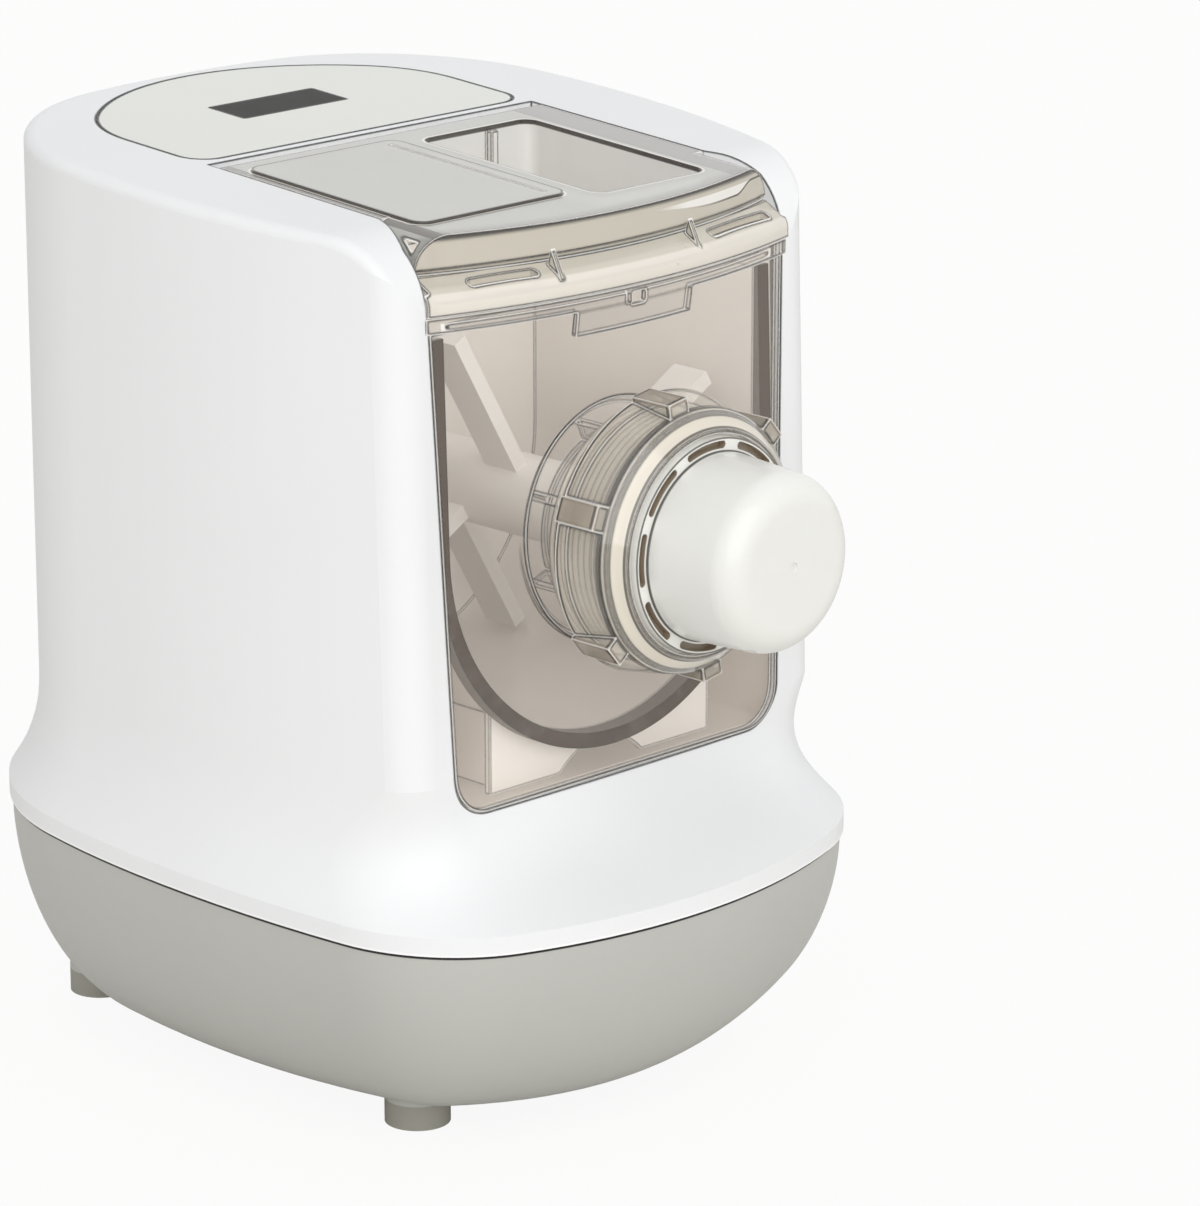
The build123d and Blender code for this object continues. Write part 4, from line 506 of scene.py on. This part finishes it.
class FinishLid(bpy.types.Operator):
    """Finish the smoky lid, its light pad, its basin and its stepped front"""

    bl_idname = "pasta.finish_lid"
    bl_label = "Finish Lid"

    def execute(self, context):
        look = context.scene.pasta_clear
        smoke = see_through("lid_smoke", look.lid, flat=0.86, edge=0.98, roughness=0.2)
        smoke.surface({"Specular IOR Level": 0.3})
        level = smoke.axis("Z") - LID_SLOPE * smoke.axis("Y")
        self.paint_top(smoke, look, level)
        self.paint_front(smoke, look)
        smoke.draw_lines()
        self.draw_seams(smoke, look, level)
        dress(smoke, "lid")
        return {"FINISHED"}

    def paint_top(self, smoke, look, level):
        """The pale basin and the darker borders round the lid's top."""
        x = smoke.axis("X")
        basin = x.within(BASIN["left"] - BASIN_MARGIN, BASIN["right"] + BASIN_MARGIN)
        basin = basin * smoke.axis("Y").within(BASIN["front"] - BASIN_MARGIN, BASIN["rear"] + BASIN_MARGIN)
        smoke.paint(basin * level.fall(*BASIN_BRIM), look.basin)
        smoke.paint(x.within(*LEFT_BORDER), look.rim)
        smoke.paint(0.6 * x.within(*RIGHT_BORDER), look.rim)
        smoke.paint(0.55 * smoke.from_bow_centre().rise(*FRONT_BORDER), look.rim)

    def paint_front(self, smoke, look):
        """The warm band with its painted shadow, a tapering painted glint with a painted shade line under
        it, and the paler lip, partly a painted highlight.
        """
        x = smoke.axis("X")
        z = smoke.axis("Z")
        bow = smoke.from_bow_centre()
        band = bow.rise(*FRONT_FACE)
        smoke.paint(band, look.band)
        smoke.paint(band * z.rise(*BAND_SHADOW), look.rim_shadow)
        # A painted highlight: a glint that tapers towards each end, with a painted shade line under it
        below = GLINT_TOP - z
        beyond = below - GLINT_DEPTH * x.rise(*GLINT_SWELL) * x.fall(*GLINT_TAPER)
        glint = below.rise(0.0, SOFT_END) * beyond.fall(-SOFT_END, 0.0)
        smoke.paint(band * x.rise(*GLINT_FADE) * glint, EDGE_LIGHT)
        smoke.paint(band * x.rise(*GLINT_SHADE_FADE) * beyond.within(0.0, GLINT_SHADE_DEPTH), look.rim_shadow)
        # The lip is painted paler, partly as a painted highlight on its rounded nose
        smoke.paint(z.fall(*LIP_TOP) * bow.rise(*LIP_FACE), look.lip)

    def draw_seams(self, smoke, look, level):
        """A painted highlight line and a painted shade line round the pad and round the basin's mouth."""
        upper = level.rise(*LID_TOP)
        for outline in (PAD, BASIN):
            shape = smoke.border(**outline)
            smoke.paint(upper * shape.within(*SEAM_HIGHLIGHT), look.lip)
            smoke.paint(upper * shape.within(*SEAM_SHADE), look.rim_shadow)


class FinishNozzle(bpy.types.Operator):
    """Finish the front cover, its seals, the forming die and the locking nut"""

    bl_idname = "pasta.finish_nozzle"
    bl_label = "Finish Nozzle"

    def execute(self, context):
        look = context.scene.pasta_clear
        self.finish_cover(look)
        self.finish_nut(look)
        gasket = moulded("gasket_rubber", look.gasket, roughness=0.55, grain=1800.0, depth=0.00002,
                         cloud=0.1)
        gasket.outline(radius=0.0012, colour=EDGE_SHADOW)
        dress(gasket, "cover_gasket")
        seals = moulded("seal_rubber", tone(226, 224, 220), roughness=0.6)
        dress(seals, "collar_seal", "tub_shaft_seal", "bulkhead_seal")
        self.finish_die(look)
        return {"FINISHED"}

    def finish_cover(self, look):
        """The clear cover. Its thread is denser, with shadow between the rings in place of edge lines."""
        cover = see_through("cover_clear", look.cover, flat=0.07, edge=0.6, line=0.0017)
        reach = cover.from_nozzle_axis()
        thread = cover.axis("Y").within(*THREAD) * reach.rise(*THREAD_ROOT)
        root = thread * reach.fall(*THREAD_CREST)
        # More painted highlight along the cover's sharp edges
        cover.paint(0.6 * cover.edge_highlights, EDGE_LIGHT)
        cover.paint(thread, look.nut)
        cover.paint(root, look.thread)
        plain = cover.fed("Alpha") * (1.0 - thread)
        cover.surface({"Alpha": plain + THREAD_OPACITY * thread + THREAD_OPACITY * root})
        dress(cover, "front_cover")

    def finish_nut(self, look):
        """The clear nut, with darker lugs, painted shade rings, painted highlights along its edges and a
        milky cone.
        """
        nut = see_through("nut_clear", look.nut, flat=0.16, edge=0.6, line=0.0018)
        reach = nut.from_nozzle_axis()
        y = nut.axis("Y")
        lugs = reach.rise(*NUT_LUGS)
        rings = y.within(*NUT_REAR_RING).most(y.within(*NUT_SHOULDER_RING))
        rings = RING_OPACITY * rings.most(reach.within(*NUT_MOUTH_RING) * y.fall(*NUT_FACE))
        cone = y.fall(*NUT_CONE) * reach.rise(*NUT_MOUTH)
        nut.paint(0.8 * lugs, look.lugs)
        # Painted shade lines at the nut's rings
        nut.paint(rings, look.seam)
        # Painted highlights along the nut's sharp edges, over its lugs and rings
        nut.paint(nut.edge_highlights, EDGE_LIGHT)
        opaque = nut.fed("Alpha").most(NUT_OPACITY * lugs).most(rings).most(NUT_OPACITY * cone)
        nut.surface({"Alpha": opaque})
        dress(nut, "locking_nut")

    def finish_die(self, look):
        """The milky die, with painted shadow in its notches and a painted shade line at each edge of its
        ring.
        """
        die = moulded("die_milky", look.die, roughness=0.3, grain=3000.0, depth=0.000002, cloud=0.01,
                      coat=0.4)
        reach = die.from_nozzle_axis()
        y = die.axis("Y")
        rings = reach.within(*DIE_OUTER_RING).most(reach.within(*DIE_INNER_RING))
        die.paint(reach.within(*DIE_NOTCHES) * y.rise(*DIE_NOTCH_FLOOR), look.slots)
        # Painted shade lines at each edge of the die's ring
        die.paint(0.85 * rings * y.fall(*DIE_FACE) * y.rise(*DIE_CUP), look.seam)
        die.surface({
            "Subsurface Weight": 0.3,
            "Subsurface Radius": (1.0, 0.95, 0.9),
            "Subsurface Scale": 0.004,
            "Specular IOR Level": 0.3,
        })
        dress(die, "forming_die")


class FinishChamber(bpy.types.Operator):
    """Finish the mixing tub, the agitator and the frame that holds the chamber"""

    bl_idname = "pasta.finish_chamber"
    bl_label = "Finish Chamber"

    def execute(self, context):
        look = context.scene.pasta_clear
        dress(see_through("tub_plastic", look.tub, flat=0.94, edge=0.98, roughness=0.3), "mixing_tub")
        agitator = moulded("agitator_plastic", tone(244, 238, 230), roughness=0.35)
        dress(agitator, "extruding_screw", "mixing_paddles")
        dress(moulded("frame_plastic", tone(238, 227, 215), roughness=0.5), "inner_frame")
        shaft = metal("shaft_steel", tone(196, 197, 200), roughness=0.25, stretch=(1.0, 0.05, 1.0))
        dress(shaft, "agitator_shaft")
        return {"FINISHED"}


class FinishDrive(bpy.types.Operator):
    """Finish the gear train and the motor"""

    bl_idname = "pasta.finish_drive"
    bl_label = "Finish Drive"

    def execute(self, context):
        gears = moulded("gear_nylon", tone(236, 233, 222), roughness=0.42)
        dress(gears, "idler_gear_1", "idler_gear_2", "output_gear", "motor_pinion")
        gearbox = moulded("gearbox_plastic", tone(70, 71, 74), roughness=0.5)
        dress(gearbox, "gearbox_case", "gearbox_cover", "motor_cradle")
        screws = metal("screw_steel", tone(190, 191, 194), roughness=0.32)
        dress(screws, "base_screws", "frame_screws", "gearbox_screws", "motor_screws", "cradle_screws",
              "inlet_screws", "lid_hinge_pins")
        rods = metal("rod_steel", tone(204, 205, 208), roughness=0.22, stretch=(1.0, 0.05, 1.0))
        dress(rods, "motor_shaft", "idler_pins", "output_shaft")
        drawn = metal("drawn_steel", tone(176, 178, 182), roughness=0.35, stretch=(1.0, 0.1, 1.0))
        dress(drawn, "motor_can", "motor_end_cap")
        core = metal("laminated_core", tone(120, 104, 90), roughness=0.5, stretch=(0.02, 1.0, 0.02),
                     scale=1500.0)
        dress(core, "motor_stator", "motor_rotor")
        bronze = metal("sintered_bronze", tone(190, 150, 90), roughness=0.4)
        dress(bronze, "motor_bushings", "output_bearing")
        dress(moulded("fan_plastic", tone(40, 41, 44), roughness=0.45), "motor_fan")
        return {"FINISHED"}


class FinishElectrics(bpy.types.Operator):
    """Finish the boards, the display module, the interlock and the power inlet"""

    bl_idname = "pasta.finish_electrics"
    bl_label = "Finish Electrics"

    def execute(self, context):
        boards = moulded("circuit_board", tone(38, 98, 62), grain=900.0, depth=0.00002, cloud=0.12)
        dress(boards, "display_board", "power_board")
        parts = moulded("board_parts", tone(58, 58, 62))
        dress(parts, "board_components", "interlock_switch", "display_module")
        dress(moulded("inlet_black", tone(44, 44, 46), roughness=0.35), "power_inlet")
        dress(moulded("plunger_white", tone(230, 230, 226), roughness=0.35), "interlock_plunger")
        return {"FINISHED"}


# ---------------------------------------------------------------- studio


class BuildStudio(bpy.types.Operator):
    """Set the floor, the soft lights and the camera"""

    bl_idname = "pasta.build_studio"
    bl_label = "Build Studio"

    # The machine's middle, and how far to its right and above it the camera looks
    MIDDLE = Vector((0.0, -0.0028, 0.15))
    AIM_RIGHT = 0.04424
    AIM_UP = 0.00194

    def execute(self, context):
        look = context.scene.pasta_studio
        scene = context.scene
        self.make_floor(scene, look.bleach)
        self.make_world(scene, look.world)
        self.make_lamp(scene, "key_lamp", towards=(-0.46, -0.75, 0.48), spread=70.0, strength=look.key)
        self.make_lamp(scene, "fill_lamp", towards=(0.9, 0.1, 0.3), spread=90.0, strength=look.fill)
        self.make_camera(scene, look)
        scene.view_settings.view_transform = "Standard"
        return {"FINISHED"}

    def make_floor(self, scene, bleach):
        """A wide pale floor that keeps the machine's shadow and is seen nearly white."""
        mesh = bpy.data.meshes.new("studio_floor")
        shape = bmesh.new()
        bmesh.ops.create_grid(shape, x_segments=1, y_segments=1, size=8.0)
        shape.to_mesh(mesh)
        shape.free()
        floor = bpy.data.objects.new("studio_floor", mesh)
        scene.collection.objects.link(floor)
        finish = Finish("studio_floor")
        finish.surface({
            "Base Color": finish.mix(finish.noise(scale=3.0), tone(228, 226, 222), tone(234, 232, 228)),
            "Roughness": 0.9,
            "Specular IOR Level": 0.1,
        })
        white = finish.node("Emission", sockets={"Color": WHITE, "Strength": 1.0})
        seen = finish.node("MixShader", sockets={
            0: bleach * finish.rays("Is Camera Ray", "Is Transmission Ray"),
            1: Field(finish, finish.shader.outputs[0]),
            2: white,
        })
        finish.feed(finish.tree.nodes["Material Output"].inputs["Surface"], seen)
        mesh.materials.append(finish.material)

    def make_world(self, scene, strength):
        """Soft light of this strength all round, with plain white behind the machine."""
        world = bpy.data.worlds.new("studio_world")
        world.use_nodes = True
        sky = Shading(world.node_tree)
        backdrop = sky.node("Background", sockets={"Color": WHITE, "Strength": 1.0})
        light = sky.tree.nodes["Background"]
        sky.feed(light.inputs["Color"], WHITE)
        sky.feed(light.inputs["Strength"], strength)
        mixed = sky.node("MixShader", sockets={
            0: sky.rays("Is Camera Ray", "Is Transmission Ray", "Is Glossy Ray"),
            1: Field(sky, light.outputs[0]),
            2: backdrop,
        })
        sky.feed(sky.tree.nodes["World Output"].inputs["Surface"], mixed)
        scene.world = world

    def make_lamp(self, scene, name, towards, spread, strength):
        """A distant lamp in this direction from the machine, as broad as this spread in degrees."""
        data = bpy.data.lights.new(name, "SUN")
        data.angle = radians(spread)
        data.energy = strength
        lamp = bpy.data.objects.new(name, data)
        lamp.location = towards
        lamp.rotation_mode = "QUATERNION"
        lamp.rotation_quaternion = Vector(towards).to_track_quat("Z", "Y")
        scene.collection.objects.link(lamp)

    def make_camera(self, scene, look):
        """A long lens that looks a little past the machine's middle."""
        turn = look.azimuth
        tilt = look.elevation
        back = Vector((sin(turn) * cos(tilt), -cos(turn) * cos(tilt), sin(tilt)))
        right = Vector((cos(turn), sin(turn), 0.0))
        up = back.cross(right)
        aim = self.MIDDLE + right * self.AIM_RIGHT + up * self.AIM_UP
        data = bpy.data.cameras.new("studio_camera")
        data.lens = look.lens
        data.sensor_width = 36.0
        data.clip_start = 0.05
        data.clip_end = 50.0
        camera = bpy.data.objects.new("studio_camera", data)
        camera.matrix_world = Matrix.Translation(aim + back * look.distance) @ Matrix((
            (right.x, up.x, back.x, 0.0),
            (right.y, up.y, back.y, 0.0),
            (right.z, up.z, back.z, 0.0),
            (0.0, 0.0, 0.0, 1.0),
        ))
        scene.collection.objects.link(camera)
        scene.camera = camera


class FinishesPanel(bpy.types.Panel):
    """The pasta maker's finishes in the sidebar"""

    bl_idname = "VIEW3D_PT_pasta_finishes"
    bl_label = "Pasta Maker"
    bl_space_type = "VIEW_3D"
    bl_region_type = "UI"
    bl_category = "Pasta Maker"

    def draw(self, context):
        for operator in OPERATORS:
            self.layout.operator(operator.bl_idname)


SETTINGS = {"pasta_casing": CasingSettings, "pasta_clear": ClearSettings, "pasta_studio": StudioSettings}
OPERATORS = (FinishCasing, FinishLid, FinishNozzle, FinishChamber, FinishDrive, FinishElectrics, BuildStudio)


def register():
    for name, group in SETTINGS.items():
        bpy.utils.register_class(group)
        setattr(bpy.types.Scene, name, PointerProperty(type=group))
    for operator in OPERATORS:
        bpy.utils.register_class(operator)
    bpy.utils.register_class(FinishesPanel)


def unregister():
    bpy.utils.unregister_class(FinishesPanel)
    for operator in reversed(OPERATORS):
        bpy.utils.unregister_class(operator)
    for name, group in SETTINGS.items():
        delattr(bpy.types.Scene, name)
        bpy.utils.unregister_class(group)


def main():
    register()
    bpy.ops.pasta.finish_casing()
    bpy.ops.pasta.finish_lid()
    bpy.ops.pasta.finish_nozzle()
    bpy.ops.pasta.finish_chamber()
    bpy.ops.pasta.finish_drive()
    bpy.ops.pasta.finish_electrics()
    bpy.ops.pasta.build_studio()


if __name__ == "__main__":
    main()
